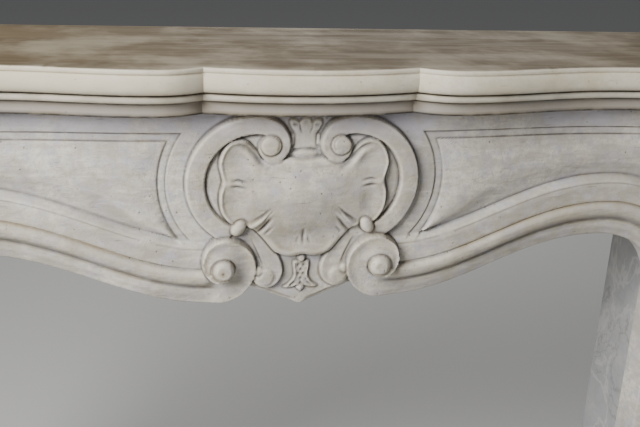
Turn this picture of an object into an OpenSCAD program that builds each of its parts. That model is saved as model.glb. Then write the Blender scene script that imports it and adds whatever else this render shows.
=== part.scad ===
// Carved stone fireplace mantel: serpentine moulded shelf, carved frieze over an arched opening,
// two moulded jambs and two plain returns. Millimetres, +Z up, front faces -Y, wall at +Y.
// The origin lies on the floor, at the middle of the width and of the depth.

/* [Overall] */
// Height from the floor to the top of the shelf
mantel_h = 1080; // [900:10:1400]
// Width of the fire opening between the jambs
opening_w = 1066; // [880:2:1500]
// Depth from the face of the frieze back to the wall
body_d = 250; // [160:5:400]
// Width of each jamb seen from the front
jamb_w = 132; // [108:1:200]
// Thickness of the carved front stones
front_t = 55; // [45:1:90]
// Height of the carved frieze at its middle, from the shelf down to the tip
frieze_h = 266; // [220:1:330]

/* [Shelf] */
// Thickness of the shelf
shelf_t = 59; // [45:1:80]
// How far the nose of the shelf stands in front of the frieze
shelf_nose = 61; // [45:1:90]
// How far the shelf passes the jambs at each side
shelf_side = 55; // [30:1:90]
// Half the distance between the two creases of the front edge
crease_x = 130; // [90:1:170]
// How deep the creases cut back
crease_in = 18; // [5:1:30]
// Where the flanks swell out again, from the middle
swell_x = 185; // [175:1:260]
// How deep the long hollow of each flank is
hollow_in = 26; // [0:1:40]
// Radius of the shelf's front corners
corner_r = 62; // [20:1:90]

/* [Frieze] */
// Radius of the opening's upper corners
ear_r = 98; // [60:1:180]
// Rise of the arch from the scrolls to its highest point
arch_rise = 74; // [40:1:95]
// How deep the frieze hollows in plan between centre and jambs
frieze_hollow = 15; // [0:1:22]
// Distance of the panel's inner line from the shelf
panel_top = 41; // [30:1:55]
// Width of the sunk border round the panels
panel_band = 10; // [5:1:16]
// Plain margin between the panel and the outer end of the frieze
panel_margin = 51; // [35:1:80]

/* [Jambs and returns] */
// How far the joint between frieze and jamb lies below the spring of the arch
joint_drop = 4; // [1:1:60]
// Height of the plain foot of the jambs and returns
foot_h = 110; // [60:1:180]
// How far the foot stands out
foot_out = 9; // [3:1:20]
// Thickness of the side returns
return_t = 66; // [30:1:90]
// How far the returns are set in from the outer edge of the jambs
return_in = 10; // [0:1:25]

/* [Hidden] */
stone = "#c9c4b6";
honey = "#b9ab8e";
shade_stone = "#aaa69c";

half_open = opening_w / 2;
half_body = half_open + jamb_w;
half_shelf = half_body + shelf_side;
shelf_z = mantel_h - shelf_t;               // underside of the shelf
mid_y = (body_d - shelf_nose) / 2;          // middle of the depth, from the frieze's face
k = frieze_h / 266;                         // size of the carved centre group
scroll_x = 125 * k;                         // lowest point of the scrolls' undersides
scroll_z = -262 * k;
peak_x = half_open - ear_r;                 // highest point of the arch
peak_z = scroll_z + arch_rise;
ear_z = peak_z - ear_r;                     // centre height of the opening's upper corners
joint_z = ear_z - joint_drop;               // from the shelf's underside
hollow_x = peak_x - 45;
jamb_h = shelf_z + joint_z;

// Frieze section from the opening edge upwards: [distance from the edge, depth of the face]
ARCH_ROWS = [[0, 3], [2.5, -1.5], [20.5, -0.5], [23, 5], [25.5, -1], [31, -9], [37, -12],
             [43, -12], [48.5, -8.5], [51, -4], [53, -6], [77, -5]];
bevel_d = 89;                               // upper edge of the bright bevel under the panel
BEVEL_IN = 4;                               // how deep the panel lies at the top of the bevel
LINE_IN = 1.5;                              // how deep the panel's border is sunk

// Heights of the carving off the plane of the frieze: [low end, high end]
C_TOPS = [8.5, 12.5];                       // the big C-scroll, from its lower end to the volute
VOLUTE_TOPS = [13, 17];                     // its eye: side, dome
SCROLL_TOPS = [2, 19, 23];                  // main scroll: arch end, outer turn, inner turn
EYE_TOPS = [23, 29];                        // eye of the main scroll: side, dome
HANGING_TOPS = [6.5, 12];
SHIELD_TOPS = [12, 13.5, 13, 17, 20.5, 21.5];  // rim, lip, hollow behind it, then the pillow
HUSK_TOPS = [6, 8];
CREST_TOPS = [5.5, 7.5];

// Centre group, right half, from the middle of the shelf's underside
c_mid = [62, -95] * k;                      // centre of the big C-scroll
c_out = 88.5 * k;
c_in = 64 * k;
C_END = -68;                                // its lower end dives under the main scroll
v_mid = [44.5, -44.2] * k;                  // centre of its upper volute
v_eye = 12.5 * k;
m_mid = [103, -207] * k;                    // centre of the main scroll
m_eye = 14 * k;
bead_r = 10;                                // the bead where shield and C-scroll meet
bead_out = 9;
panel_arc = 124 * k;                        // the panel's inner end follows the C-scroll

// Shelf section from top to bottom: [set back from the nose, height], for a shelf of SECTION_T
SECTION_T = 59;
TORUS_OUT = 6;                              // how far the torus bulges
TORUS_R = 12;                               // half its height
TORUS_Z = 40.5;                             // height of its middle
SHELF_TOP = [[3.5, 59], [2, 57.5], [2, 54], [6, 52.8]];
SHELF_TORUS = [for (a = [60:-30:-90]) [TORUS_OUT * (1 - cos(a)), TORUS_Z + TORUS_R * sin(a)]];
SHELF_LOW = [[11, 28], [8.5, 24.5], [10.5, 18], [17, 16.5], [18.5, 9], [16.5, 2.5], [16.5, 0]];
SHELF_SECTION = [for (p = concat(SHELF_TOP, SHELF_TORUS, SHELF_LOW)) [p[0], p[1] * shelf_t / SECTION_T]];

function clamp(v, low, high) = min(max(v, low), high);
function swing(v, low, high) = (1 - cos(180 * clamp((v - low) / (high - low), 0, 1))) / 2;
function polar(mid, r, a) = mid + r * [cos(a), sin(a)];
function flip(pts) = [for (i = [len(pts) - 1:-1:0]) pts[i]];
function mirrored(pts) = concat(pts, [for (p = flip(pts)) if (abs(p[0]) > 0.01) [-p[0], p[1]]]);

// How far the shelf's front lies behind its nose at x
function shelf_in(x) =
    x < crease_x
        ? let (r = (pow(crease_x, 2) + pow(crease_in, 2)) / (2 * crease_in)) r - sqrt(r * r - x * x)
    : x < swell_x ? crease_in * pow((swell_x - x) / (swell_x - crease_x), 2)
    : hollow_in * (swing(x, swell_x, hollow_x) - swing(x, hollow_x, half_shelf - corner_r));

// How far the frieze's face lies behind its plane at x
function frieze_in(x) =
    frieze_hollow * (swing(x, 165 * k, hollow_x) - swing(x, hollow_x, half_open + jamb_w / 2));

// Stations of the shelf's front and side: [x, y, outward x, outward y]
function shelf_path() =
    let (straight = half_shelf - corner_r, step = (straight - swell_x) / 15)
    concat(
        [for (i = [0:5]) crease_x * i / 6],
        [for (i = [0:4]) crease_x + (swell_x - crease_x) * i / 5],
        [for (i = [0:15]) swell_x + step * i]);

function shelf_stations() = concat(
    [for (x = shelf_path()) [x, -shelf_nose + shelf_in(x), 0, -1]],
    [for (a = [15:15:90]) [half_shelf - corner_r + corner_r * sin(a),
                           -shelf_nose + corner_r * (1 - cos(a)), sin(a), -cos(a)]],
    [[half_shelf, body_d, 1, 0]]);

module shelf() {
    right = shelf_stations();
    left = [for (i = [len(right) - 1:-1:1]) [-right[i][0], right[i][1], -right[i][2], right[i][3]]];
    path = concat(left, right);
    n = len(path);
    m = len(SHELF_SECTION);
    pts = [for (s = path) for (p = SHELF_SECTION) [s[0] - p[0] * s[2], s[1] - p[0] * s[3], p[1]]];
    sides = [for (i = [0:n - 2]) for (j = [0:m - 2]) for (t = [0, 1])
        t == 0 ? [i * m + j, i * m + j + 1, (i + 1) * m + j]
               : [(i + 1) * m + j, i * m + j + 1, (i + 1) * m + j + 1]];
    top = [[for (i = [0:n - 1]) i * m]];
    bottom = [[for (i = [n - 1:-1:0]) i * m + m - 1]];
    back = [concat([for (j = [m - 1:-1:0]) j], [for (j = [0:m - 1]) (n - 1) * m + j])];
    color(honey) translate([0, -mid_y, shelf_z])
        polyhedron(pts, [for (f = concat(sides, top, bottom, back)) flip(f)]);
}

// Lower edge of the frieze between the scroll and the arch's highest point
function arch_z(x) =
    let (t = clamp((x - scroll_x) / (peak_x - scroll_x), 0, 1))
    (scroll_z + peak_z) / 2 - arch_rise / 2 * cos(180 * pow(t, 0.9));

// The panel's inner end leans like the C-scroll beside it
function lean(x0, z) =
    let (dz = clamp(z, -180 * k, 0) - c_mid[1])
    (1 - swing(x0, 187 * k, 280 * k)) * (sqrt(panel_arc * panel_arc - dz * dz) - panel_arc);

// Rows above the bevel: [share of the field's height, depth of the panel there]
FIELD_ROWS = [[0, BEVEL_IN], [0.35, 0], [0.75, -3.5], [1, 0]];
// Rows of the border, from the panel's inner line outwards
LINE_STEP = 0.7;
LINE_ROWS = [LINE_STEP, panel_band - LINE_STEP, panel_band];

inner_x = half_body - panel_margin - panel_band - peak_x;    // panel corner from the ear's centre
inner_z = -panel_top - ear_z;

// Columns of the frieze's right half: [kind, x or angle, 0 outside, 1 border, 2 field]
FLAT_COLUMNS = concat(
    [[142 * k, 0], [174.6 * k, 0], [175.4 * k, 1], [185.6 * k, 1]],
    [for (i = [0:12]) [186.4 * k + (peak_x - 186.4 * k) * pow(i / 13, 1.15), 2]]);
corner_a = atan2(inner_z, inner_x);
edge_a = atan2(-ear_z, half_body - peak_x);
end_a = acos(min(1, inner_x / (ear_r + bevel_d)));
EAR_COLUMNS = concat(
    [for (i = [0:3]) [90 - (90 - corner_a) * i / 4, 2]],
    [[corner_a, 2], [edge_a, 2], [(edge_a + end_a) / 2, 2], [end_a, 0], [end_a * 0.5, 0], [0, 0]]);

function ray(a, w, h) = min(a > 0.01 ? h / sin(a) : 1e6, a < 89.99 ? w / cos(a) : 1e6);

function row_depths(kind) = concat(
    [for (r = ARCH_ROWS) r[1]],
    [for (r = FIELD_ROWS) kind == 2 ? r[1] : kind == 1 ? LINE_IN : 0],
    [kind > 0 ? LINE_IN : 0, kind > 0 ? LINE_IN : 0, 0, 0]);

function flat_column(c) =
    let (top = -panel_top, depths = row_depths(c[1]))
    let (rows = concat(
        [for (r = ARCH_ROWS) [0, r[0]]],
        [for (r = FIELD_ROWS) [r[0], bevel_d]],
        [for (d = LINE_ROWS) [1, -top - d]], [[1, 0]]))
    [for (j = [0:len(rows) - 1])
        let (high = j >= len(ARCH_ROWS) + len(FIELD_ROWS),
             level = high ? -rows[j][1] : top,
             z0 = high ? level : (1 - rows[j][0]) * (arch_z(c[0]) + rows[j][1]) + rows[j][0] * top,
             x0 = c[0] + lean(c[0], z0),
             z1 = high ? level : (1 - rows[j][0]) * (arch_z(x0) + rows[j][1]) + rows[j][0] * top,
             x1 = c[0] + lean(c[0], z1))
        [x1, depths[j] + frieze_in(x1), z1]];

function rising(list, i = 0, last = 0) =
    i == len(list) ? [] : let (v = max(list[i], last + 0.6)) concat([v], rising(list, i + 1, v));

function ear_column(c, drop = 0) =
    let (a = c[0], depths = row_depths(c[1]), foot = ear_r + bevel_d,
         edge = ray(a, inner_x, inner_z), reach = ray(a, half_body - peak_x, -ear_z),
         radii = rising(concat(
            [for (r = ARCH_ROWS) ear_r + r[0]],
            [for (r = FIELD_ROWS) foot + r[0] * max(0, edge - foot)],
            [for (d = LINE_ROWS) ray(a, inner_x + d, inner_z + d)])))
    [for (j = [0:len(radii)])
        let (r = j < len(radii) ? radii[j] : reach, p = polar([peak_x, ear_z], r, a))
        [p[0], depths[j] + frieze_in(p[0]), p[1] - drop]];

module frieze_half() {
    columns = concat([for (c = FLAT_COLUMNS) flat_column(c)], [for (c = EAR_COLUMNS) ear_column(c)],
                     [ear_column([0, 0], joint_drop)]);
    n = len(columns);
    m = len(columns[0]);
    front = [for (c = columns) for (p = c) p];
    rim = concat([for (i = [0:n - 1]) i * m], [for (j = [1:m - 1]) (n - 1) * m + j],
                 [for (i = [n - 2:-1:0]) i * m + m - 1], [for (j = [m - 2:-1:1]) j]);
    w = len(rim);
    pts = concat(front, [for (v = rim) [front[v][0], front_t, front[v][2]]]);
    face = [for (i = [0:n - 2]) for (j = [0:m - 2]) for (t = [0, 1])
        t == 0 ? [i * m + j, (i + 1) * m + j, i * m + j + 1]
               : [(i + 1) * m + j, (i + 1) * m + j + 1, i * m + j + 1]];
    wall = [for (i = [0:w - 1]) for (t = [0, 1]) let (b = (i + 1) % w)
        t == 0 ? [rim[i], n * m + i, rim[b]] : [rim[b], n * m + i, n * m + b]];
    back = [[for (i = [w - 1:-1:0]) n * m + i]];
    polyhedron(pts, [for (f = concat(face, wall, back)) flip(f)]);
}

// How deep the carving is rooted in the stone behind the plane
ROOT = 8;

// A carved band between two outlines, with softened edges; tops are its heights off the plane
module band(outer, inner, tops, soft = 2.5) {
    sink = ROOT;
    n = len(outer);
    pts = [for (i = [0:n - 1])
        let (o = outer[i], q = inner[i], w = norm(q - o), s = min(soft, w * 0.3), u = (q - o) / w)
        for (p = [[o, sink], [o, s - tops[i]], [o + u * s, -tops[i]],
                  [q - u * s, -tops[i]], [q, s - tops[i]], [q, sink]]) [p[0][0], p[1], p[0][1]]];
    sides = [for (i = [0:n - 2]) for (j = [0:5]) for (t = [0, 1]) let (b = (j + 1) % 6)
        t == 0 ? [i * 6 + j, i * 6 + b, (i + 1) * 6 + j] : [(i + 1) * 6 + j, i * 6 + b, (i + 1) * 6 + b]];
    ends = [[5, 4, 3, 2, 1, 0], [for (j = [0:5]) (n - 1) * 6 + j]];
    polyhedron(pts, concat(sides, ends));
}

// A round button: a straight side up to the first height, then a dome to the second
module button(mid, r, side, top, facets = 12) {
    translate([mid[0], ROOT, mid[1]]) rotate([90, 0, 0])
        hull() {
            cylinder(r = r, h = ROOT + side, $fn = facets);
            cylinder(r = r * 0.5, h = ROOT + top, $fn = facets);
        }
}

// Radius of the upper volute's band round its eye
VOLUTE_TURNS = [[90, 34], [116, 30.5], [145, 26.8], [262, 23.8], [325, 17.2], [397, 13.2]];
function volute_r(a) = k * lookup(a, VOLUTE_TURNS);

module c_scroll() {
    turn = [for (i = [0:15]) 397 - i * (397 - 96) / 15];
    sweep = [for (i = [0:12]) 97 - i * (97 - C_END) / 12];
    outer = concat([for (a = turn) polar(v_mid, volute_r(a), a)], [for (a = sweep) polar(c_mid, c_out, a)]);
    inner = concat([for (a = turn) polar(v_mid, v_eye * 0.98, a)], [for (a = sweep) polar(c_mid, c_in, a)]);
    tops = concat([for (a = turn) C_TOPS[1]],
                  [for (a = sweep) C_TOPS[0] + (C_TOPS[1] - C_TOPS[0]) * swing(a, C_END, 97)]);
    band(flip(outer), flip(inner), flip(tops));
    button(v_mid, v_eye, VOLUTE_TOPS[0], VOLUTE_TOPS[1], 24);
}

// Radius of the main scroll round its eye, turning inwards from the arch's lower edge
function scroll_r(t) = k * lookup(t, [[0, 55], [35, 48.5], [90, 43], [170, 41.6], [249, 28.5], [295, 23],
                                      [328, 21], [357, 19], [402, 16.3], [430, 14.6]]);

// One stretch of the main scroll, from the turn first to last; its inside lies at the radius given
module scroll_stretch(first, last, steps, inside) {
    turn = [for (i = [0:steps]) first + i * (last - first) / steps];
    outer = [for (t = turn) polar(m_mid, t < 0 ? (m_mid[1] - scroll_z) / cos(t) : scroll_r(t), -90 - t)];
    inner = [for (t = turn) polar(m_mid, inside, -90 - t)];
    tops = [for (t = turn) SCROLL_TOPS[0] + (SCROLL_TOPS[1] - SCROLL_TOPS[0]) * swing(t, -60, 200)
                         + (SCROLL_TOPS[2] - SCROLL_TOPS[1]) * swing(t, 180, 420)];
    band(flip(outer), flip(inner), flip(tops), 4);
}

module main_scroll() {
    scroll_stretch(-22, 100, 8, 17 * k);
    scroll_stretch(85, 430, 20, m_eye * 0.95);
    button(m_mid, m_eye, EYE_TOPS[0], EYE_TOPS[1], 24);
}

// Outline of the shield's right half, clockwise from its top
SHIELD = k * [[0, -64], [22, -65], [40, -67.5], [52, -65.5], [60, -54], [72, -41], [83, -37], [94, -39],
              [103, -49], [108, -62], [108.5, -72], [105.5, -85], [104.8, -93], [108, -108],
              [107.5, -124], [103, -137], [92, -149], [76, -149.5], [71, -152], [63, -157], [51, -170],
              [39, -185], [31, -191], [16, -195], [0, -192.5]];

module shield() {
    outline = mirrored(SHIELD);
    n = len(outline);
    mid = [0, -112] * k;
    h = SHIELD_TOPS;
    // [share of the outline, height]
    rings = [[1, -ROOT], [1, h[0]], [0.965, h[1]], [0.88, h[2]], [0.7, h[3]], [0.4, h[4]]];
    m = len(rings);
    pts = concat([for (r = rings) for (p = outline) let (q = mid + r[0] * (p - mid)) [q[0], -r[1], q[1]]],
                 [[mid[0], -h[5], mid[1]]]);
    sides = [for (j = [0:m - 2]) for (i = [0:n - 1]) for (t = [0, 1]) let (b = (i + 1) % n)
        t == 0 ? [j * n + i, j * n + b, (j + 1) * n + i] : [j * n + b, (j + 1) * n + b, (j + 1) * n + i]];
    cap = [for (i = [0:n - 1]) [(m - 1) * n + i, (m - 1) * n + (i + 1) % n, m * n]];
    back = [[for (i = [n - 1:-1:0]) i]];
    polyhedron(pts, concat(sides, cap, back));
}

// The small scroll that hangs between the shield and the main scroll
module hanging_scroll() {
    outer = k * [[62, -150], [49, -168], [38, -183], [30, -195], [25.5, -207], [25, -220], [30.5, -232],
                 [41.5, -239.5], [52.5, -238.7], [61, -231], [61.5, -221], [56, -214]];
    inner = k * [[74, -154], [66, -172], [62, -183], [57, -192], [52.5, -202], [49, -210], [47, -214],
                 [47, -218], [49, -221.5], [52, -222], [53.5, -219.5], [52, -216.5]];
    n = len(outer) - 1;
    band(outer, inner,
         [for (i = [0:n]) HANGING_TOPS[0] + (HANGING_TOPS[1] - HANGING_TOPS[0]) * swing(i, 0, n)]);
}

// The plate behind the husk that forms the frieze's lowest tip
PENDANT = k * [[0, -266], [21, -259], [40.5, -250.5], [54, -246], [68, -239], [66, -190], [0, -185]];

// A bell flower: bead, drilled body, two petals and a small diamond
module husk() {
    low = HUSK_TOPS[0];
    high = HUSK_TOPS[1];
    button([0, -199] * k, 6 * k, high, high + 3);
    hull() for (z = [-206, -229], s = [-1, 1]) button([s * 7, z] * k, 5 * k, low, high);
    for (s = [-1, 1])
        hull() {
            button([s * 9, -229] * k, 5 * k, low, high);
            button([s * 21, -241] * k, 2.5 * k, low - 2, high - 2);
        }
    button([0, -242] * k, 7 * k, low - 1, high, 4);
}

// Three lobes on a collar, between the two volutes
module crest() {
    low = CREST_TOPS[0];
    high = CREST_TOPS[1];
    for (s = [-1, 0, 1])
        hull() {
            button([s * 14, -19 + (s == 0 ? 4 : 0)] * k, 6 * k, low, high);
            button([s * 8, -42] * k, 5 * k, low, high);
        }
    hull() for (s = [-1, 1]) button([s * 12, -57] * k, 6 * k, low, high + 2);
}

GROUND_IN = 4;                              // how deep the ground between the scrolls lies
PLATE_OUT = 1;

module frieze_centre() {
    wall = [for (z = [0:-20 * k:-180 * k]) [147 * k + lean(142 * k, z), z]];
    ground = concat([[0, 0]], wall, [[112, -255] * k, [86, -246] * k], [for (i = [4:-1:0]) PENDANT[i]]);
    translate([0, front_t, 0]) rotate([90, 0, 0])
        linear_extrude(front_t - GROUND_IN) polygon(mirrored(flip(ground)));
    translate([0, ROOT, 0]) rotate([90, 0, 0]) linear_extrude(ROOT + PLATE_OUT) polygon(mirrored(PENDANT));
    shield();
    husk();
    crest();
    for (s = [0, 1]) mirror([s, 0, 0]) {
        c_scroll();
        main_scroll();
        hanging_scroll();
        translate([84 * k, -bead_out, -151 * k]) sphere(r = bead_r * k, $fn = 14);
    }
}

module frieze() {
    color(stone) translate([0, -mid_y, shelf_z]) {
        frieze_centre();
        for (s = [0, 1]) mirror([s, 0, 0]) frieze_half();
    }
}

// The jamb carries the arch's moulding down to a plain foot; its outer part holds a sunk panel
FOOT_FRONT = 12;                            // the foot's face before foot_out is added
PANEL_SIDE = 8;                             // margins of the jamb's panel: beside the moulding,
PANEL_OUTER = 14;                           // at the outer edge,
PANEL_FOOT = 30;                            // over the foot
PANEL_HEAD = 40;                            // and under the joint
PANEL_SINK = 5;

module jamb() {
    section = concat([for (r = ARCH_ROWS) [half_open + r[0], r[1] + frieze_in(half_open + r[0])]],
                     [[half_open + bevel_d, frieze_in(half_open + bevel_d)],
                      [half_body, frieze_in(half_body)], [half_body, front_t], [half_open, front_t]]);
    line_x = half_open + ARCH_ROWS[len(ARCH_ROWS) - 1][0] + PANEL_SIDE;
    difference() {
        union() {
            linear_extrude(jamb_h) polygon(section);
            translate([half_open - foot_out, -FOOT_FRONT - foot_out, 0])
                cube([jamb_w + 2 * foot_out, front_t + FOOT_FRONT + foot_out, foot_h]);
        }
        translate([line_x, -front_t, foot_h + PANEL_FOOT])
            cube([half_body - PANEL_OUTER - line_x, front_t + PANEL_SINK,
                  jamb_h - foot_h - PANEL_FOOT - PANEL_HEAD]);
    }
}

module left_jamb() { color(stone) translate([0, -mid_y, 0]) mirror([1, 0, 0]) jamb(); }
module right_jamb() { color(stone) translate([0, -mid_y, 0]) jamb(); }

module side_return() {
    outer = half_body - return_in;
    translate([outer - return_t, front_t, 0]) cube([return_t, body_d - front_t, shelf_z]);
    translate([outer - return_t, front_t, 0]) cube([return_t + foot_out, body_d - front_t, foot_h]);
}

module left_return() { color(shade_stone) translate([0, -mid_y, 0]) mirror([1, 0, 0]) side_return(); }
module right_return() { color(shade_stone) translate([0, -mid_y, 0]) side_return(); }

shelf();
frieze();
left_jamb();
right_jamb();
left_return();
right_return();
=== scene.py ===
import math

import bmesh
import bpy
import numpy as np
from mathutils import Matrix, Vector


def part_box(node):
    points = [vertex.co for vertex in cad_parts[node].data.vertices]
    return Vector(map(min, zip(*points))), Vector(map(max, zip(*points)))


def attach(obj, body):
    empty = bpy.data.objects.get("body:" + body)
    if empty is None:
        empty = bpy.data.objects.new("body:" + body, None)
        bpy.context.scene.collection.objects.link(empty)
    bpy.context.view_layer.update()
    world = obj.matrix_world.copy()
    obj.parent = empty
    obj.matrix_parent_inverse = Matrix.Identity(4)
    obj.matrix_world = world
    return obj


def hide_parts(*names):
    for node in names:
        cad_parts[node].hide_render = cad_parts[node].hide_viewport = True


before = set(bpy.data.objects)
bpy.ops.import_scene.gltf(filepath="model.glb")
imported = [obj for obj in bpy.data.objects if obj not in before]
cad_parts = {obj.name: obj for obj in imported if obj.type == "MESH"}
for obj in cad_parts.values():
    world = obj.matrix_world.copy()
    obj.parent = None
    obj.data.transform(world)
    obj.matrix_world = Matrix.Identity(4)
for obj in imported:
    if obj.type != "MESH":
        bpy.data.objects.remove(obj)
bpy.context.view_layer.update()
mm = 0.001
print("frame loaded:", ", ".join(sorted(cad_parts)))

# where the stones lie, read from the frame, in millimetres
friezeLow, friezeHigh = (np.array(v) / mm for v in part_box("frieze"))
shelfHigh = np.array(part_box("shelf")[1]) / mm
jambHigh = np.array(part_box("right_jamb")[1]) / mm
returnLow, returnHigh = (np.array(v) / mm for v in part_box("right_return"))
stoneBack = friezeHigh[1]             # back of the front stones
underShelf = friezeHigh[2]            # underside of the shelf
jointDrop = friezeLow[2] - underShelf
jambWidth = 132.0
footOut = 9.0                         # how far the feet stand out at the sides


# Small helpers for shaping

def swing(v, low, high):
    return (1 - np.cos(math.pi * np.clip((v - low) / (high - low), 0, 1))) / 2


def through(v, points):
    # a smooth curve through the points that never overshoots them
    p = np.array(points, float)
    x, y = p[:, 0], p[:, 1]
    slope = np.diff(y) / np.diff(x)
    m = np.zeros(len(x))
    m[0], m[-1] = slope[0], slope[-1]
    same = slope[:-1] * slope[1:] > 0
    both = np.where(same, slope[:-1] + slope[1:], 1)
    m[1:-1] = np.where(same, 2 * slope[:-1] * slope[1:] / both, 0)
    v = np.clip(v, x[0], x[-1])
    i = np.clip(np.searchsorted(x, v, side="right") - 1, 0, len(x) - 2)
    h = x[i + 1] - x[i]
    t = (v - x[i]) / h
    return ((2 * t**3 - 3 * t**2 + 1) * y[i] + (t**3 - 2 * t**2 + t) * h * m[i]
            + (3 * t**2 - 2 * t**3) * y[i + 1] + (t**3 - t**2) * h * m[i + 1])


def cloud(u, v, cell, seed):
    # soft random hills between -1 and 1, a cell apart
    table = np.random.default_rng(seed).uniform(-1, 1, (128, 128))
    a, b = u / cell + 500.3, v / cell + 500.7
    i, j = np.floor(a).astype(int), np.floor(b).astype(int)
    s, t = a - i, b - j
    s, t = s * s * (3 - 2 * s), t * t * (3 - 2 * t)

    def at(di, dj):
        return table[(i + di) % 128, (j + dj) % 128]
    return (at(0, 0) * (1 - s) + at(1, 0) * s) * (1 - t) + (at(0, 1) * (1 - s) + at(1, 1) * s) * t


def rounded(points, steps=5, closed=True):
    # Catmull-Rom curve through the points
    p = np.array(points, float)
    n = len(p)
    out = []
    for i in range(n if closed else n - 1):
        if closed:
            a, b, c, d = p[(i - 1) % n], p[i], p[(i + 1) % n], p[(i + 2) % n]
        else:
            a, b, c, d = p[max(i - 1, 0)], p[i], p[i + 1], p[min(i + 2, n - 1)]
        for t in np.arange(steps) / steps:
            out.append(0.5 * (2 * b + (c - a) * t + (2 * a - 5 * b + 4 * c - d) * t**2
                              + (3 * b - a - 3 * c + d) * t**3))
    if not closed:
        out.append(p[-1])
    return np.array(out)


def awayFrom(x, z, points):
    # distance to an open line, and how far along it the nearest place is, 0 to 1
    p = np.array(points, float)
    lengths = np.hypot(*np.diff(p, axis=0).T)
    start = np.concatenate([[0], np.cumsum(lengths)]) / lengths.sum()
    best = np.full(np.shape(x), 1e9)
    along = np.zeros(np.shape(x))
    for i in range(len(p) - 1):
        (ax, az), (bx, bz) = p[i], p[i + 1]
        ux, uz = bx - ax, bz - az
        t = np.clip(((x - ax) * ux + (z - az) * uz) / (ux * ux + uz * uz + 1e-12), 0, 1)
        d = np.hypot(x - ax - t * ux, z - az - t * uz)
        nearer = d < best
        along = np.where(nearer, start[i] + t * (start[i + 1] - start[i]), along)
        best = np.where(nearer, d, best)
    return best, along


def within(x, z, outline):
    # distance to a closed outline, positive inside it
    p = np.array(outline, float)
    q = np.roll(p, -1, axis=0)
    best = np.full(np.shape(x), 1e9)
    inside = np.zeros(np.shape(x), bool)
    for (ax, az), (bx, bz) in zip(p, q):
        ux, uz = bx - ax, bz - az
        t = np.clip(((x - ax) * ux + (z - az) * uz) / (ux * ux + uz * uz + 1e-12), 0, 1)
        best = np.minimum(best, np.hypot(x - ax - t * ux, z - az - t * uz))
        if az != bz:
            inside ^= ((az > z) != (bz > z)) & (x < ux * (z - az) / uz + ax)
    return np.where(inside, best, -best)


def dome(share):
    # a round top: 0 at its foot, 1 where the share reaches its middle
    return np.sqrt(np.clip(1 - (1 - np.clip(share, 0, 1)) ** 2, 0, 1))


def heading(degrees):
    return np.array([math.cos(math.radians(degrees)), math.sin(math.radians(degrees))])


def hump(x, z, mid, wide, high, power=1.0):
    return np.exp(-(((x - mid[0]) / wide) ** 2 + ((z - mid[1]) / high) ** 2) ** power)


# The relief being carved: how far the stone stands forward, and where its lines darken: dirt in the carved
# lines, and painted shade in a few places
class Carving:
    def __init__(self, x, z, height):
        self.x, self.z = x, z
        self.height = height
        self.stainAndShade = np.zeros(np.shape(x))

    def lay(self, inside, face, wall=2.2, line=0.8, where=1.0):
        # puts a raised shape on, with a steep side and a thin dark line round its foot
        rise = swing(inside, -0.8, wall - 0.8) * where
        self.height = self.height + (face - self.height) * rise
        foot = np.exp(-((inside + 1.0) / 1.25) ** 2) * where
        self.height = self.height - 0.7 * line * foot
        self.stainAndShade = np.maximum(self.stainAndShade * (1 - rise), line * foot)

    def cut(self, points, depth, wide, stainAndShade=0.6, taper=True):
        # cuts a groove along a line, or raises a ridge if the depth is negative
        d, along = awayFrom(self.x, self.z, points)
        ends = np.sin(math.pi * np.clip(along, 0.04, 0.96)) ** 0.6 if taper else 1.0
        groove = np.exp(-(d / wide) ** 2) * ends
        self.height = self.height - depth * groove
        self.stainAndShade = np.maximum(self.stainAndShade, stainAndShade * groove)


# Helpers for meshes and for the marks that carry dirt, wear, painted shade and painted highlight

def relaxed(points, times):
    # a grid of points, each moved to the middle of its neighbours again and again
    p = points.copy()
    for _ in range(times):
        q = np.pad(p, ((1, 1), (1, 1), (0, 0)), mode="edge")
        p = (q[:-2, 1:-1] + q[2:, 1:-1] + q[1:-1, :-2] + q[1:-1, 2:] + p) / 5
    return p


def gridNormals(p):
    du = np.gradient(p, axis=0)
    dv = np.gradient(p, axis=1)
    n = np.cross(du, dv)
    return n / np.maximum(np.linalg.norm(n, axis=2, keepdims=True), 1e-12)


def hollowsAndEdges(p, front):
    # how hollow and how sharp each grid point is: narrow hollows, wide hollows, edges
    n = gridNormals(p)
    facing = np.sign((n * front).sum(axis=2).mean())
    n = n * facing
    fine = ((relaxed(p, 3) - p) * n).sum(axis=2)
    wide = ((relaxed(p, 24) - p) * n).sum(axis=2)
    return (np.clip(fine / 0.35, 0, 1), np.clip(wide / 1.6, 0, 1), np.clip(-fine / 0.30, 0, 1))


def gridFaces(rows, columns, start=0, around=False):
    faces = []
    for i in range(rows - 1 + (1 if around else 0)):
        a, b = start + i * columns, start + ((i + 1) % rows) * columns
        for j in range(columns - 1):
            faces.append((a + j, b + j, b + j + 1, a + j + 1))
    return faces


def joinRings(faces, last, here):
    # a strip of quads between two closed rings of points
    for a, b, c, d in zip(last, np.roll(last, -1), np.roll(here, -1), here):
        faces.append((int(a), int(b), int(c), int(d)))
    return here


def makePiece(name, points, faces, marks, sharpAngle=38):
    # a mesh object from millimetres; marks are narrow hollows, wide hollows, edges and the warm stain
    mesh = bpy.data.meshes.new(name)
    mesh.from_pydata((np.array(points) * mm).tolist(), [], faces)
    mesh.validate()
    colours = np.zeros((len(points), 4), np.float32)
    colours[:, :marks.shape[1]] = np.clip(marks, 0, 1)
    layer = mesh.color_attributes.new("carveMarks", "FLOAT_COLOR", "POINT")
    layer.data.foreach_set("color", colours.ravel())
    mesh.shade_smooth()
    mesh.set_sharp_from_angle(angle=math.radians(sharpAngle))
    mesh.update()
    piece = bpy.data.objects.new(name, mesh)
    bpy.context.scene.collection.objects.link(piece)
    return piece


def faceOutward(piece):
    # turns every face outward
    bm = bmesh.new()
    bm.from_mesh(piece.data)
    bmesh.ops.recalc_face_normals(bm, faces=bm.faces)
    bm.to_mesh(piece.data)
    bm.free()


# The carved frieze

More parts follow.
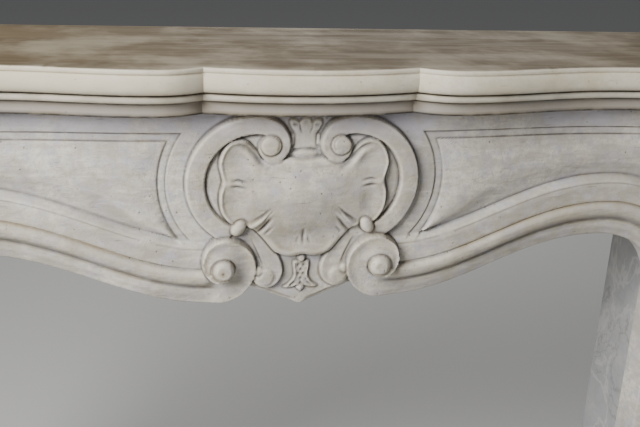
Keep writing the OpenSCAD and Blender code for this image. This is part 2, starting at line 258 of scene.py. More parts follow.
friezeStone = {
    "thickness": 55.0,        # from the plane of the face to the back
    "hollow": 15.0,           # how deep the face hollows in plan beside the centre
    "earRadius": 98.0,
    "scrollFoot": (125.0, -262.0),
    "archRise": 74.0,
    "panelTop": 31.0,         # outer line of the panel's border
    "panelBand": 10.0,
    "panelMargin": 51.0,
    "bevel": 89.0,            # upper edge of the bevel over the arch moulding
    "unevenness": 0.30,       # hand-cut waviness of the face
    "rollFoot": 77.0,         # where the moulding meets the bevel
    "rollFace": 4.9,          # how far the stone stands out there
    "ochreAt": 51.2,          # the ochre line beside the roll
}
openHalf = jambHigh[0] - footOut - jambWidth
bodyHalf = friezeHigh[0]
facePlane = stoneBack - friezeStone["thickness"]
earX = openHalf - friezeStone["earRadius"]
peakZ = friezeStone["scrollFoot"][1] + friezeStone["archRise"]
earZ = peakZ - friezeStone["earRadius"]
hollowX = earX - 45

centreReach = 215.0                   # the carved group ends within this distance of the middle

# the moulding that follows the opening: distance from its edge, how far it stands forward
archMoulding = [(0, -6), (0.8, -4.6), (2.5, -3.4), (8, -1.8), (16, 0.2), (20.5, 0.2), (22, -0.9), (23, -1.4),
                (24, -1.0), (25.5, 0.6), (28, 4.2), (31, 8), (34, 10.7), (37, 12.1), (40, 12.7), (43, 12.6),
                (46, 11.4), (48.5, 9.0), (50, 6.4), (51, 4.2), (51.8, 4.5), (53, 6), (58, 6.1), (70, 5.4),
                (76, 5.1), (77, 4.9), (79, 3.6), (83, 0.6), (87, -3.2), (89, -5)]

cMid, cOuter, cInner = np.array([62.0, -95.0]), 88.5, 64.0
voluteMid, voluteEye = np.array([44.5, -44.2]), 12.5
scrollMid, scrollEye = np.array([103.0, -207.0]), 14.0
voluteTurns = [(90, 34), (116, 30.5), (145, 26.8), (200, 25.2), (262, 23.8), (325, 17.2), (397, 13.2),
               (470, 11.2), (580, 9.4)]
scrollTurns = [(0, 55), (35, 48.5), (90, 43), (130, 42.2), (170, 41.2), (210, 36), (249, 28.8), (295, 23.4),
               (328, 21), (357, 19), (402, 16.3), (430, 14.4)]
shieldHalf = [(0, -60.5), (22, -61.5), (36, -64), (52, -64.5), (60, -54), (72, -41), (83, -37), (94, -39),
              (103, -49), (108, -62), (108.5, -72), (105.5, -85), (104.5, -93), (108, -108),
              (107.5, -124), (103, -137), (92, -149), (76, -149.5), (71, -152), (63, -157), (51, -170),
              (39, -185), (31, -191), (16, -195), (0, -192.5)]
pendantHalf = [(0, -266), (21, -259), (40.5, -250.5), (54, -246), (68, -239), (66, -190), (0, -185)]
hangingOuter = [(62, -150), (49, -168), (38, -183), (30, -195), (25.5, -207), (25, -220), (30.5, -232),
                (41.5, -239.5), (52.5, -238.7), (61, -232), (64.5, -222), (64, -214)]
hangingInner = [(94, -150), (95, -162), (89, -174), (82, -186), (75, -198), (68, -207), (64, -211),
                (63, -212)]
huskHalf = [(0, -203), (8.5, -203.2), (11, -206), (10, -214), (9.2, -223), (12, -230), (17.5, -236.5),
            (23.3, -240.8), (14, -241.8), (6, -239.5), (0, -239)]
crestHalf = [(0, -9.9), (4.5, -11.5), (8, -16.7), (12.5, -13.6), (19.3, -13.5), (20.4, -19), (17, -25.5),
             (13.8, -31), (13.2, -43), (14.5, -50), (0, -52)]


def mirrored(half):
    return list(half) + [(-x, z) for x, z in half[::-1] if abs(x) > 0.01]


def archLine(x):
    t = np.clip((x - friezeStone["scrollFoot"][0]) / (earX - friezeStone["scrollFoot"][0]), 0, 1)
    return ((friezeStone["scrollFoot"][1] + peakZ) / 2
            - friezeStone["archRise"] / 2 * np.cos(math.pi * t ** 0.9))


def scrollRadius(t):
    return np.where(t < 0, 55 / np.cos(np.radians(np.clip(t, -60, 0))), through(t, scrollTurns))


def openingEdge(x):
    # lower edge of the frieze at |x|, left of the ear's centre
    turn = np.linspace(50, 0, 60)
    a = np.radians(-90 - turn)
    sx, sz = scrollMid[0] + scrollRadius(turn) * np.cos(a), scrollMid[1] + scrollRadius(turn) * np.sin(a)
    plate = np.interp(x, *np.array(pendantHalf[:5]).T)
    scroll = np.where(x < sx[0], 0, np.interp(x, sx, sz))
    return np.where(x < 125, np.minimum(plate, np.where(x < sx[0], 0, scroll)), archLine(x))


def edgeDistance(x, z):
    ear = np.hypot(np.maximum(x - earX, 0), np.maximum(z - earZ, 0)) - friezeStone["earRadius"]
    return np.where(x < earX, z - archLine(x), ear)


def friezeHollow(x):
    return friezeStone["hollow"] * (swing(x, 165, hollowX) - swing(x, hollowX, openHalf + 66))


def carveGround(x, z):
    # arch moulding, bevel and the panel in its border
    d = edgeDistance(x, z)
    margin = np.minimum(-friezeStone["panelTop"] - z,
                        bodyHalf - friezeStone["panelMargin"] - x)
    toArc = np.hypot(x - cMid[0], z - cMid[1]) - 113
    border = np.minimum(margin, toArc)             # inside the outer line
    field = border - friezeStone["panelBand"]      # inside the inner line
    overBevel = d - friezeStone["bevel"]
    inPanel = swing(field, -1.5, 4)
    share = np.clip(overBevel, 0, None) / (np.clip(overBevel, 0, None) + np.clip(field, 0, None) + 0.5)
    # the field sinks at the bevel and swells in its middle
    swell = np.sin(math.pi * np.clip((share - 0.15) / 0.85, 0, 1)) ** 1.3
    bulge = -6.5 * (1 - np.clip(share / 0.34, 0, 1) ** 0.8) + 4.0 * swell
    over = np.where(field > 0, bulge, 0) * inPanel
    over = over - 1.6 * swing(border, -0.3, 1.2) * (1 - swing(field, -1.6, 0.2))
    rollFoot, rollFace, ochreAt = (friezeStone[k] for k in ("rollFoot", "rollFace", "ochreAt"))
    low = np.where(d < rollFoot, through(d, archMoulding), 0)
    rising = np.clip((d - 79.5) / 9.5, 0, 1) ** 1.25
    foot = np.where(d >= rollFoot, rollFace + (over - rollFace) * rising, low)
    ground = np.where(overBevel > 0, over, foot)
    lines = np.exp(-((border + 0.1) / 1.0) ** 2) + 0.9 * np.exp(-((field + 0.4) / 1.0) ** 2)
    lines = lines * swing(overBevel, -3, 3)
    ground = ground - 0.9 * lines
    quirk = np.exp(-((d - 78.6) / 1.2) ** 2)
    ground = ground - 0.7 * quirk
    stainAndShade = 0.8 * lines + 0.25 * np.exp(-((d - ochreAt) / 1.3) ** 2)
    # painted shade: a soft dark band under the roll, and a faint dark line in the crease over the bevel
    stainAndShade = stainAndShade + 0.40 * np.exp(-((d - 26.0) / 5.0) ** 2)
    stainAndShade = stainAndShade + 0.30 * np.exp(-((d - 90.5) / 2.2) ** 2) * swing(x, 165, 215) + 0.22 * quirk
    warm = 0.9 * np.exp(-((d - ochreAt) / 1.9) ** 2) + 0.30 * np.exp(-((d - 23.0) / 2.5) ** 2)
    return ground, stainAndShade, warm


def carveFrieze(x, z):
    side = np.sign(x)
    x = np.abs(x)
    ground, stainAndShade, warm = carveGround(x, z)
    nearCentre = x < centreReach
    cx, cz = x[nearCentre], z[nearCentre]
    body = Carving(cx, cz, ground[nearCentre])
    body.stainAndShade = stainAndShade[nearCentre]

    # the plain plate behind everything, sunk inside the big scrolls
    cRadius = np.hypot(cx - cMid[0], cz - cMid[1])
    plain = (1 - swing(cx, 96, 128)) * (1 - swing(cRadius, 84, 92) * swing(cz, -185, -160))
    body.height = body.height * (1 - plain)
    body.stainAndShade = body.stainAndShade * (1 - plain)
    sunk = np.minimum(cInner + 6 - cRadius, 12) / 12
    raised = 5.0 * np.clip(sunk, 0, 1) * swing(cz, -190, -165)
    body.height = np.where(sunk > 0, body.height + raised, body.height)
    body.height = body.height + 2.6 * hump(cx, cz, (0, -34), 27, 30, 2)

    # plate of the lowest tip, with a chamfer along its edge
    plate = within(cx, cz, mirrored(pendantHalf))
    toEdge = awayFrom(cx, cz, pendantHalf[:5])[0]
    body.lay(plate, 1.2 + 1.2 * hump(cx, cz, (0, -225), 34, 30), line=0.0)
    chamfer = (1 - swing(toEdge, 4.2, 6.0)) * swing(cx, 3, 16)
    body.height = body.height - chamfer * (3.8 - 0.35 * toEdge)
    body.stainAndShade = np.maximum(body.stainAndShade, 0.35 * np.exp(-((toEdge - 5.4) / 0.9) ** 2) * swing(cx, 3, 16))

    # the small scroll that hangs between the shield and the main scroll
    hanging = within(cx, cz, np.concatenate([rounded(hangingOuter, 5, False),
                                             rounded(hangingInner, 5, False)[::-1]]))
    down = np.clip((-cz - 150) / 70, 0, 1)
    body.lay(hanging, 6.0 + 3.5 * down - 1.3 * np.exp(-(np.maximum(hanging, 0) / 2.2))
             - 1.1 * np.clip(hanging / 8, 0, 1), line=0.55)
    ball = 15.5 - np.hypot(cx - 48.5, cz + 223.5)
    body.lay(np.minimum(ball, hanging + 3), 8.2 + 4.6 * dome(ball / 15.5) - 1.0, wall=6, line=0.0,
             where=swing(ball, -1, 7))
    beyond = swing(cx - np.interp(-cz, [166, 176, 190, 203, 208], [69, 64, 58, 52.5, 51.5]), 0, 3)
    thinned = 2.2 * beyond * swing(hanging, -1, 1) * swing(-cz, 166, 176)
    body.height = body.height - thinned * (1 - swing(-cz, 203, 211))
    body.cut([(67, -170), (63.5, -178), (58, -190), (52.5, -203), (51.5, -208)], 1.8, 1.1, 0.75)
    curl = 7.2 - np.hypot((cx - 57.5) * 0.9, cz + 214.5)
    body.lay(curl, 9.4 + 1.8 * np.sqrt(np.clip(curl / 7.2, 0, 1)), wall=4, line=0.15)
    body.cut([(66, -216), (62, -220), (56, -221), (51, -217)], 1.6, 1.3, 0.5)

    # shield
    shieldLine = rounded(mirrored(shieldHalf), 5)
    inside = within(cx, cz, shieldLine)
    face = (12.5 + 9.5 * hump(cx, cz, (0, -118), 62, 40, 1.2)
            - 4.2 * hump(cx, cz, (84, -62), 17, 15) - 4.2 * hump(cx, cz, (87, -119), 14, 17)
            - 4.2 * hump(cx, cz, (0, -165), 42, 13)
            - 1.8 * hump(cx, cz, (62, -92), 16, 9))
    lipped = swing(cx, 58, 72) * (1 - 0.85 * hump(cx, cz, (100, -93), 12, 7))
    face = face + 2.3 * np.exp(-((inside - 2.6) / 2.0) ** 2) * lipped
    face = face + 2.2 * np.exp(-((inside - 6.5) / 4.5) ** 2) * swing(-cz, 160, 184)
    face = face + 1.8 * hump(cx, cz, (97, -93), 8, 5)
    roll = np.where(cz < -120, 5.0, 3.0)
    face = face - 3.2 * np.exp(-np.clip(inside, 0, 40) / (roll * 0.6))
    lineStrength = (0.7 + 0.3 * swing(-cz, 140, 165)) * (1 - 0.85 * hump(cx, cz, (0, -62), 30, 10, 2))
    body.lay(inside, face, line=lineStrength)
    body.cut([(82, -43), (72, -47), (64, -55), (56, -66), (48, -73)], 5.0, 3.6, 0.42)
    body.cut([(86, -50), (76, -54), (68, -62), (62, -71)], -1.6, 4.0, 0.0)
    body.cut([(92, -89), (84, -88.5), (75, -91)], 1.9, 1.4, 0.75)
    body.cut([(94, -96.5), (85, -97), (75, -99)], 1.9, 1.5, 0.75)
    body.cut([(88, -92.5), (76, -94.5)], -1.0, 2.2, 0.0)
    body.cut([(74, -154), (62, -147), (46, -133)], -4.4, 3.8, 0.0)
    body.cut([(61, -161), (52, -151), (43, -139)], 3.2, 2.0, 0.75)
    body.cut([(67, -144), (55, -136), (44, -126)], 2.6, 1.9, 0.6)
    body.cut([(53, -143), (45, -132), (40, -127)], 1.2, 1.1, 0.5)
    body.cut([(50, -161), (41, -152)], 1.5, 1.6, 0.35)
    body.cut([(0, -154), (0, -176)], 2.2, 1.8, 0.6)
    body.cut([(6, -166), (9, -176)], 0.8, 1.6, 0.2)

    # big scroll: one band that winds up into the volute
    turn = np.arange(397, 92, -4.0)
    sweep = np.arange(97, -70, -4.0)
    outer = [voluteMid + through(t, voluteTurns) * heading(t) for t in turn]
    outer += [cMid + cOuter * heading(a) for a in sweep]
    inner = [voluteMid + 8 * heading(t) for t in turn] + [cMid + cInner * heading(a) for a in sweep]
    band = within(cx, cz, np.array(outer + inner[::-1]))
    around = np.degrees(np.arctan2(cz - cMid[1], cx - cMid[0]))
    top = 8.5 + 4.0 * swing(around, -68, 97)
    across = np.clip(band / 12, 0, 1)
    body.lay(band, top - 1.3 * np.exp(-np.clip(band, 0, 30) / 1.5) + 0.5 * across, line=0.55)
    fromEye = np.hypot(cx - voluteMid[0], cz - voluteMid[1])
    body.lay(voluteEye - fromEye, top + 0.6 + 3.4 * np.sqrt(np.clip(1 - (fromEye / 13.5) ** 2, 0, 1)),
             wall=1.6, line=0.6)
    angle = np.degrees(np.arctan2(cz - voluteMid[1], cx - voluteMid[0]))
    unwound = np.where(angle < 90, angle + 360, angle)
    for lap in (0, 360):
        t = unwound + lap
        ring = np.abs(fromEye - through(t, voluteTurns))
        onTurn = (t > 380) & (t < 580)
        body.stainAndShade = np.maximum(body.stainAndShade, 0.45 * np.exp(-(ring / 0.8) ** 2) * onTurn)
        body.height = body.height - 0.7 * np.exp(-(ring / 0.9) ** 2) * onTurn

    # main scroll, rising as it winds in to its eye
    fromEye = np.hypot(cx - scrollMid[0], cz - scrollMid[1])
    angle = np.degrees(np.arctan2(cz - scrollMid[1], cx - scrollMid[0]))
    first = (-90 - angle + 70) % 360 - 70
    for lap in (0, 360):
        t = first + lap
        radius = scrollRadius(t)
        nextIn = np.where(t + 360 < 430, scrollRadius(t + 360), scrollEye)
        top = 2 + 19 * swing(t, -60, 200) + 5 * swing(t, 180, 420)
        inside = np.where(t < 0, np.minimum(cz - openingEdge(cx), 30), radius - fromEye)
        share = np.clip((fromEye - nextIn) / np.maximum(radius - nextIn, 1), 0, 1)
        dish = (3.4 if lap == 0 else 0.6) * np.sin(math.pi * share ** 1.25) * swing(t, -10, 60)
        face = top - dish - 1.8 * np.exp(-np.clip(inside, 0, 60) / 2.0)
        blend = swing(t, -48, 6) if lap == 0 else (t < 432) * 1.0
        body.lay(inside, face, line=(0.55 if lap == 0 else 0.8), where=blend)
    eye = scrollEye - fromEye
    body.lay(eye, 23.0 + 8.5 * np.clip(1 - (fromEye / 13.2) ** 2, 0, 1) ** 0.8, wall=1.8, line=0.6)
    ring = np.hypot(cx - scrollMid[0] - 1.2, cz - scrollMid[1] + 0.8) - 15.6
    outside = eye < -0.5
    body.height = body.height - 0.9 * np.exp(-(ring / 1.2) ** 2) * outside
    body.stainAndShade = np.maximum(body.stainAndShade, 0.5 * np.exp(-(ring / 1.1) ** 2) * outside * (cz > scrollMid[1] - 6))

    # bead where the shield rolls over the end of the big scroll
    leanX, leanZ = cx - 83.5, cz + 152.5
    across, along = leanX * 0.82 + leanZ * 0.57, leanZ * 0.82 - leanX * 0.57
    bead = 9.8 - np.hypot(across / 0.88, along / 1.28)
    body.lay(bead, 9.5 + 8.0 * dome(bead / 9.8), wall=2.0, line=0.6)

    # husk on the tip
    husk = within(cx, cz, rounded(mirrored(huskHalf), 3))
    body.lay(husk, 5.0 + 1.5 * np.exp(-((husk - 1.6) / 1.3) ** 2) - 0.06 * np.abs(cz + 218), line=0.5)
    body.lay(5.6 - np.hypot(cx, cz + 198.5), 7.5, wall=3.2, line=0.45)
    body.lay(6.6 - (cx + np.abs(cz + 241.5)), 7.4 - 0.5 * (cx + np.abs(cz + 241.5)), wall=1.8, line=0.6)
    for px, pz in ((3.6, -209.5), (0, -215.5), (3.2, -221.5), (0, -228)):
        body.height = body.height - 2.6 * hump(cx, cz, (px, pz), 1.7, 1.9)
        body.stainAndShade = np.maximum(body.stainAndShade, 0.5 * hump(cx, cz, (px, pz), 1.6, 1.8))
    body.cut([(0, -232), (0, -238)], 2.0, 1.2, 0.5)
    body.cut([(8, -233), (15, -239)], 1.8, 1.2, 0.5)

    # crest between the volutes, and its collar
    crest = within(cx, cz, rounded(mirrored(crestHalf), 4))
    body.lay(crest, 5.6 + 0.8 * np.clip(crest / 5, 0, 1) - 0.8 * swing(-cz, 30, 46), line=0.32)
    body.height = (body.height - 1.8 * hump(cx, cz, (14.2, -18.8), 3.6, 2.6)
                   - 1.6 * hump(cx, cz, (0, -15.2), 3.0, 3.4))
    body.stainAndShade = np.maximum(body.stainAndShade, 0.35 * hump(cx, cz, (14.2, -19.6), 3.6, 1.9))
    body.cut([(8.6, -17), (7.6, -24), (5.5, -29)], 1.3, 1.2, 0.5)
    ear = np.minimum(2.4 - np.abs(cx - 16.3), 6.8 - np.abs(cz + 38.5))
    body.lay(ear, 4.4, wall=1.8, line=0.25)
    collar = 1 - np.hypot(cx / 17.2, (cz + 56.5) / 5.4)
    body.lay(collar * 5.0, 5.0 + 3.6 * np.sqrt(np.clip(collar * 1.8, 0, 1)), wall=1.8, line=0.4)

    # painted shade: a grey darkening over the middle of the shield
    body.stainAndShade = np.maximum(body.stainAndShade, 0.10 * hump(cx, cz, (0, -124), 58, 36, 1.5))

    # what only one side shows: a drilled hole in the left eye
    onLeft = side[nearCentre] < 0
    hole = hump(cx, cz, scrollMid + (1.5, -1.0), 1.6, 1.6) * onLeft
    body.height = body.height - 3.0 * hole
    body.stainAndShade = np.maximum(body.stainAndShade, hole)

    nearWarm = warm[nearCentre] * (1 - plain) * (1 - np.clip(body.height / 8, 0, 1) * swing(cz, -165, -185))
    ground[nearCentre] = body.height
    stainAndShade[nearCentre] = body.stainAndShade
    warm[nearCentre] = np.maximum(nearWarm, 0.9 * hump(cx, cz, scrollMid + (1.0, -1.0), 5.5, 5.5) * onLeft)
    plainly = 1 - 0.95 * hump(x, z, (0, -112), 66, 46, 1.5)
    warm = np.maximum(warm, 0.28 * np.clip((ground - 3) / 10, 0, 1) * plainly)
    x = x * side
    wavy = friezeStone["unevenness"]
    ground = ground + wavy * (cloud(x, z, 46, 3) + 0.5 * cloud(x, z, 17, 4) + 0.25 * cloud(x, z, 6, 5))
    return ground, np.clip(stainAndShade, 0, 1), np.clip(warm, 0, 1)


def spread(*stretches):
    return np.concatenate([np.linspace(a, b, n, endpoint=False) for a, b, n in stretches])


def friezeColumns():
    # columns of (x, z) for the right half, from the middle out; each has the same number of rows
    mouldingRows = spread((0, 2.5, 5), (2.5, 20.5, 8), (20.5, 25.5, 11), (25.5, 48.5, 22), (48.5, 53, 10),
                          (53, 77, 7), (77, 89, 8))
    fieldRows = np.linspace(0, 1, 40, endpoint=False)
    lineRows = spread((-2, 2, 9), (2, 8.5, 5), (8.5, 12, 8))
    marginRows = np.linspace(0, 1, 18)
    count = len(mouldingRows) + len(fieldRows) + len(lineRows) + len(marginRows)
    inner = friezeStone["panelTop"] + friezeStone["panelBand"]
    evenly = np.linspace(0, 1, count)
    columns = []
    fine = np.arange(0, 200, 1.25)
    steps = np.cumsum(np.linspace(1.4, 7.6, 52))
    outward = 200 + (earX - 200) * np.concatenate([[0], steps[:-1]]) / steps[-1]
    for x in np.concatenate([fine, outward]):
        low = openingEdge(np.array(x))
        even = low * (1 - evenly)
        wingLow = archLine(np.array(x))
        base, roof = wingLow + friezeStone["bevel"], -inner - 2
        wing = np.concatenate([wingLow + mouldingRows, base + (roof - base) * fieldRows, -inner + lineRows,
                               (-inner + 12) * (1 - marginRows)])
        w = swing(x, 168, 215)
        columns.append(np.stack([np.full(count, x), even * (1 - w) + wing * w], axis=1))
    cornerX, cornerZ = bodyHalf - friezeStone["panelMargin"] - friezeStone["panelBand"] - earX, -inner - earZ
    wide, tall = bodyHalf - earX, -earZ
    cornerA = math.degrees(math.atan2(cornerZ, cornerX))
    edgeA = math.degrees(math.atan2(tall, wide))
    angles = spread((90, cornerA, 14), (cornerA, edgeA, 3), (edgeA, 0, 22)).tolist()

    def ray(a, w, h):
        a = math.radians(a)
        return min(h / max(math.sin(a), 1e-6), w / max(math.cos(a), 1e-6))
    for a, drop in [(a, 0.0) for a in angles] + [(0.0, 0.0), (0.0, 0.5), (0.0, 1.0)]:
        ear = friezeStone["earRadius"]
        foot = ear + friezeStone["bevel"]
        roof = max(ray(a, cornerX - 2, cornerZ - 2), foot + 6)
        lines = np.array([max(ray(a, cornerX + d, cornerZ + d), roof + 2 + d) for d in lineRows])
        end = ray(a, wide, tall)
        radii = np.concatenate([ear + mouldingRows, foot + (roof - foot) * fieldRows, lines,
                                lines[-1] + 0.5 + (end - lines[-1] - 0.5) * marginRows])
        columns.append(np.stack([earX + radii * math.cos(math.radians(a)),
                                 earZ + radii * math.sin(math.radians(a)) + drop * (jointDrop - earZ)],
                                axis=1))
    return np.array(columns)


def makeFrieze():
    right = friezeColumns()
    left = right[:0:-1].copy()
    left[:, :, 0] *= -1
    plan = np.concatenate([left, right])
    x, z = plan[:, :, 0], plan[:, :, 1]
    height, stainAndShade, warm = (values.reshape(x.shape) for values in carveFrieze(x.ravel(), z.ravel()))
    face = np.stack([x, facePlane + friezeHollow(np.abs(x)) - height, underShelf + z], axis=2)
    # nothing stands in front of the stone's own box
    face[:, :, 1] = np.maximum(face[:, :, 1], friezeLow[1] + 0.2)
    columns, rows = x.shape
    narrow, wide, edges = hollowsAndEdges(face, np.array([0, -1, 0]))
    narrow = np.clip(0.2 * narrow + 1.15 * stainAndShade, 0, 1)
    marks = np.stack([narrow, 0.7 * wide, edges * (1 - narrow), warm], axis=2)
    # side and back: strips from the rim of the face straight back
    depths = np.array([0.03, 0.12, 0.3, 0.5, 0.75, 1.0])
    points = [face.reshape(-1, 3)]
    allMarks = [marks.reshape(-1, 4)]
    faces = gridFaces(columns, rows)
    index = np.arange(columns * rows).reshape(columns, rows)
    rim = np.concatenate([index[:, 0], index[-1, 1:], index[-2::-1, -1], index[0, -2:0:-1]])
    last = rim
    flat = face.reshape(-1, 3)
    start = len(flat)
    for share in depths:
        ring = flat[rim].copy()
        ring[:, 1] = ring[:, 1] + (stoneBack - ring[:, 1]) * share
        points.append(ring)
        allMarks.append(np.tile([0.0, 0.15, 0.15 if share < 0.1 else 0.0, 0.0], (len(ring), 1)))
        last = joinRings(faces, last, np.arange(start, start + len(ring)))
        start += len(ring)
    # back of the stone, one strip for each column
    n = columns
    lower = last[:n]
    upper = np.concatenate([last[n + rows - 1:2 * n + rows - 2][::-1], [last[n + rows - 2]]])
    for i in range(n - 1):
        faces.append((int(lower[i]), int(lower[i + 1]), int(upper[i + 1]), int(upper[i])))
    # the two ends of the back, where the column itself is part of the rim
    ends = np.concatenate([last[n - 1:n + rows - 1]])
    faces.append(tuple(int(v) for v in ends))
    ends = np.concatenate([last[2 * n + rows - 3:], last[:1]])
    faces.append(tuple(int(v) for v in ends))
    piece = makePiece("friezeStone", np.concatenate(points), faces, np.concatenate(allMarks), 62)
    faceOutward(piece)
    print("frieze carved:", len(piece.data.vertices), "points")
    return piece


frieze = makeFrieze()
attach(frieze, "root")
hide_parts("frieze")


# The shelf

shelfStone = {
    "nose": 61.0,             # how far its front stands before the frieze
    "creaseX": 130.0, "creaseIn": 18.0,
    "swellX": 185.0, "hollowIn": 26.0,
    "cornerRadius": 62.0,
    "chips": 0.5,             # how much the old edges are nibbled
    "unevenness": 0.25,
}
# section from the top edge down: set back from the nose, height over the underside
shelfSection = np.array(
    [(9, 59), (5.2, 59), (3.5, 58.8), (2.6, 58.3), (2.05, 57.5), (1.9, 56.2), (1.9, 54.8), (2.2, 53.9),
     (2.9, 53.2), (3.5, 52.7), (3.8, 52.2), (3.75, 51.8)]
    + [(6 - 6 * math.cos(math.radians(a)), 40.5 + 12 * math.sin(math.radians(a))) for a in range(66, -91, -8)]
    + [(7.4, 28.6), (10.6, 28.2), (11.2, 27.4), (9.4, 26.6), (8.5, 25.2), (8.4, 23.4), (8.9, 21), (9.9, 18.9),
       (11.3, 17.5), (13.5, 16.9), (16.6, 16.7), (17.2, 16), (17.6, 14.5), (18.4, 11.5), (18.6, 8.6),
       (18, 5.4), (16.9, 2.9), (16.4, 1.6), (16.5, 0.5), (17.6, 0)])
# height of each dark line of painted shade, under the torus, between ovolo and cavetto and along the lowest
# lip, its strength and width
shelfLines = [(27.6, 1.0, 1.9), (16.6, 1.0, 1.7), (0.8, 1.0, 2.3)]


def shelfIn(x):
    x = np.abs(x)
    s = shelfStone
    r = (s["creaseX"] ** 2 + s["creaseIn"] ** 2) / (2 * s["creaseIn"])
    middle = r - np.sqrt(np.maximum(r * r - np.minimum(x, s["creaseX"]) ** 2, 0))
    flank = s["creaseIn"] * ((s["swellX"] - x) / (s["swellX"] - s["creaseX"])) ** 2
    end = shelfHigh[0] - s["cornerRadius"]
    far = s["hollowIn"] * (swing(x, s["swellX"], hollowX) - swing(x, hollowX, end))
    return np.where(x < s["creaseX"], middle, np.where(x < s["swellX"], flank, far))


def makeShelf():
    s = shelfStone
    half, back = shelfHigh[0], shelfHigh[1]
    nose = facePlane - s["nose"]
    r = s["cornerRadius"]
    xs = np.concatenate([np.arange(0, s["creaseX"] - 4, 4),
                         s["creaseX"] + np.array([-3, -1.6, -0.7, 0, 0.7, 1.6, 3]),
                         np.arange(s["creaseX"] + 6, half - r, 5), [half - r]])
    right = [(x, nose + float(shelfIn(np.array(x))), 0.0, -1.0) for x in xs]
    right += [(half - r + r * math.sin(math.radians(a)), nose + r * (1 - math.cos(math.radians(a))),
               math.sin(math.radians(a)), -math.cos(math.radians(a))) for a in np.arange(6, 91, 6)]
    right += [(half, y, 1.0, 0.0) for y in np.linspace(nose + r, back, 26)[1:]]
    left = [(-x, y, -u, v) for x, y, u, v in right[:0:-1]]
    path = np.array(left + right)
    length = np.concatenate([[0], np.cumsum(np.hypot(*np.diff(path[:, :2], axis=0).T))])
    m = len(shelfSection)
    along = np.repeat(length[:, None], m, axis=1)
    tall = np.repeat(shelfSection[None, :, 1], len(path), axis=0)
    setBack = np.repeat(shelfSection[None, :, 0], len(path), axis=0)
    waves = s["unevenness"] * (cloud(along, tall, 55, 11) + 0.6 * cloud(along, tall * 1.5, 14, 12))
    onEdge = np.exp(-((tall - 57.6) / 2.2) ** 2)
    nibble = np.clip(cloud(along, tall, 9, 13) + cloud(along, tall, 31, 14) - 0.75, 0, 1)
    nibble = nibble * onEdge * s["chips"] * 2
    setBack = np.maximum(setBack + np.abs(waves) + nibble, 0.05)
    points = np.stack([path[:, None, 0] - setBack * path[:, None, 2],
                       path[:, None, 1] - setBack * path[:, None, 3],
                       underShelf + tall - 0.6 * nibble], axis=2)
    points[0, :, 1] = points[-1, :, 1] = back
    edges = hollowsAndEdges(points, np.array([0, -1, 0]))[2]
    lines = np.zeros(tall.shape)
    for height, strength, width in shelfLines:
        lines = np.maximum(lines, strength * np.exp(-((tall - height) / width) ** 2))
    # painted shade on the lower mouldings: strongest on the cavetto, less on the ovolo and the underside of
    # the torus, carried as the wide mark
    paintedShade = (0.95 - 0.5 * swing(tall, 14, 19) - 0.45 * swing(tall, 26, 30)
              + 0.3 * np.exp(-((tall - 31) / 3.5) ** 2))
    # darker in the mitres of the lower mouldings
    mitre = np.exp(-((np.abs(points[:, :, 0]) - s["creaseX"] - 2) / 9) ** 2) * (1 - swing(tall, 24, 30))
    lines = np.maximum(lines, 0.4 * mitre)
    marks = np.stack([np.clip(lines, 0, 1), np.clip(paintedShade, 0, 1), edges * (1 - np.clip(1.5 * lines, 0, 1))],
                     axis=2)
    marks[[0, -1]] = 0.0        # the back is plain
    marks = marks.reshape(-1, 3)
    flat = points.reshape(-1, 3)
    faces = gridFaces(len(path), m)
    n = len(path)
    # an inner ring on the top and on the underside keeps the edge wear and its painted highlight at the edges
    start = len(flat)
    extra, extraMarks = [], []
    for row, setIn in ((0, 14.0), (m - 1, 30.0)):
        ring = flat[np.arange(n) * m + row].copy()
        ring[:, 0] -= setIn * path[:, 2]
        ring[:, 1] -= setIn * path[:, 3]
        ring[0, 1] = ring[-1, 1] = back
        extra.append(ring)
        extraMarks.append(np.tile([0.0, 0.0, 0.0], (n, 1)))
    topRing, lowRing = np.arange(start, start + n), np.arange(start + n, start + 2 * n)
    for i in range(n - 1):
        faces.append((i * m, (i + 1) * m, int(topRing[i + 1]), int(topRing[i])))
        faces.append((i * m + m - 1, (i + 1) * m + m - 1, int(lowRing[i + 1]), int(lowRing[i])))
    faces.append(tuple(int(v) for v in topRing))
    faces.append(tuple(int(v) for v in lowRing))
    backLoop = [int(topRing[0])] + list(range(m)) + [int(lowRing[0]), int(lowRing[-1])]
    backLoop += [(n - 1) * m + j for j in range(m - 1, -1, -1)] + [int(topRing[-1])]
    faces.append(tuple(backLoop))
    piece = makePiece("shelfStone", np.concatenate([flat] + extra), faces,
                      np.concatenate([marks] + extraMarks), 40)
    faceOutward(piece)
    print("shelf swept:", len(piece.data.vertices), "points")
    return piece


shelf = makeShelf()
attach(shelf, "root")
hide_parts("shelf")


# The jambs and the returns stand on plain feet of one height

footHeight = 110.0
footRows = [50, 80, 96, 99, 101, 103, 105, 107, 108.5, 110, 112]

jambStone = {
    "panelFoot": 140.0, "panelHead": 40.0,
    "unevenness": 0.25,
}


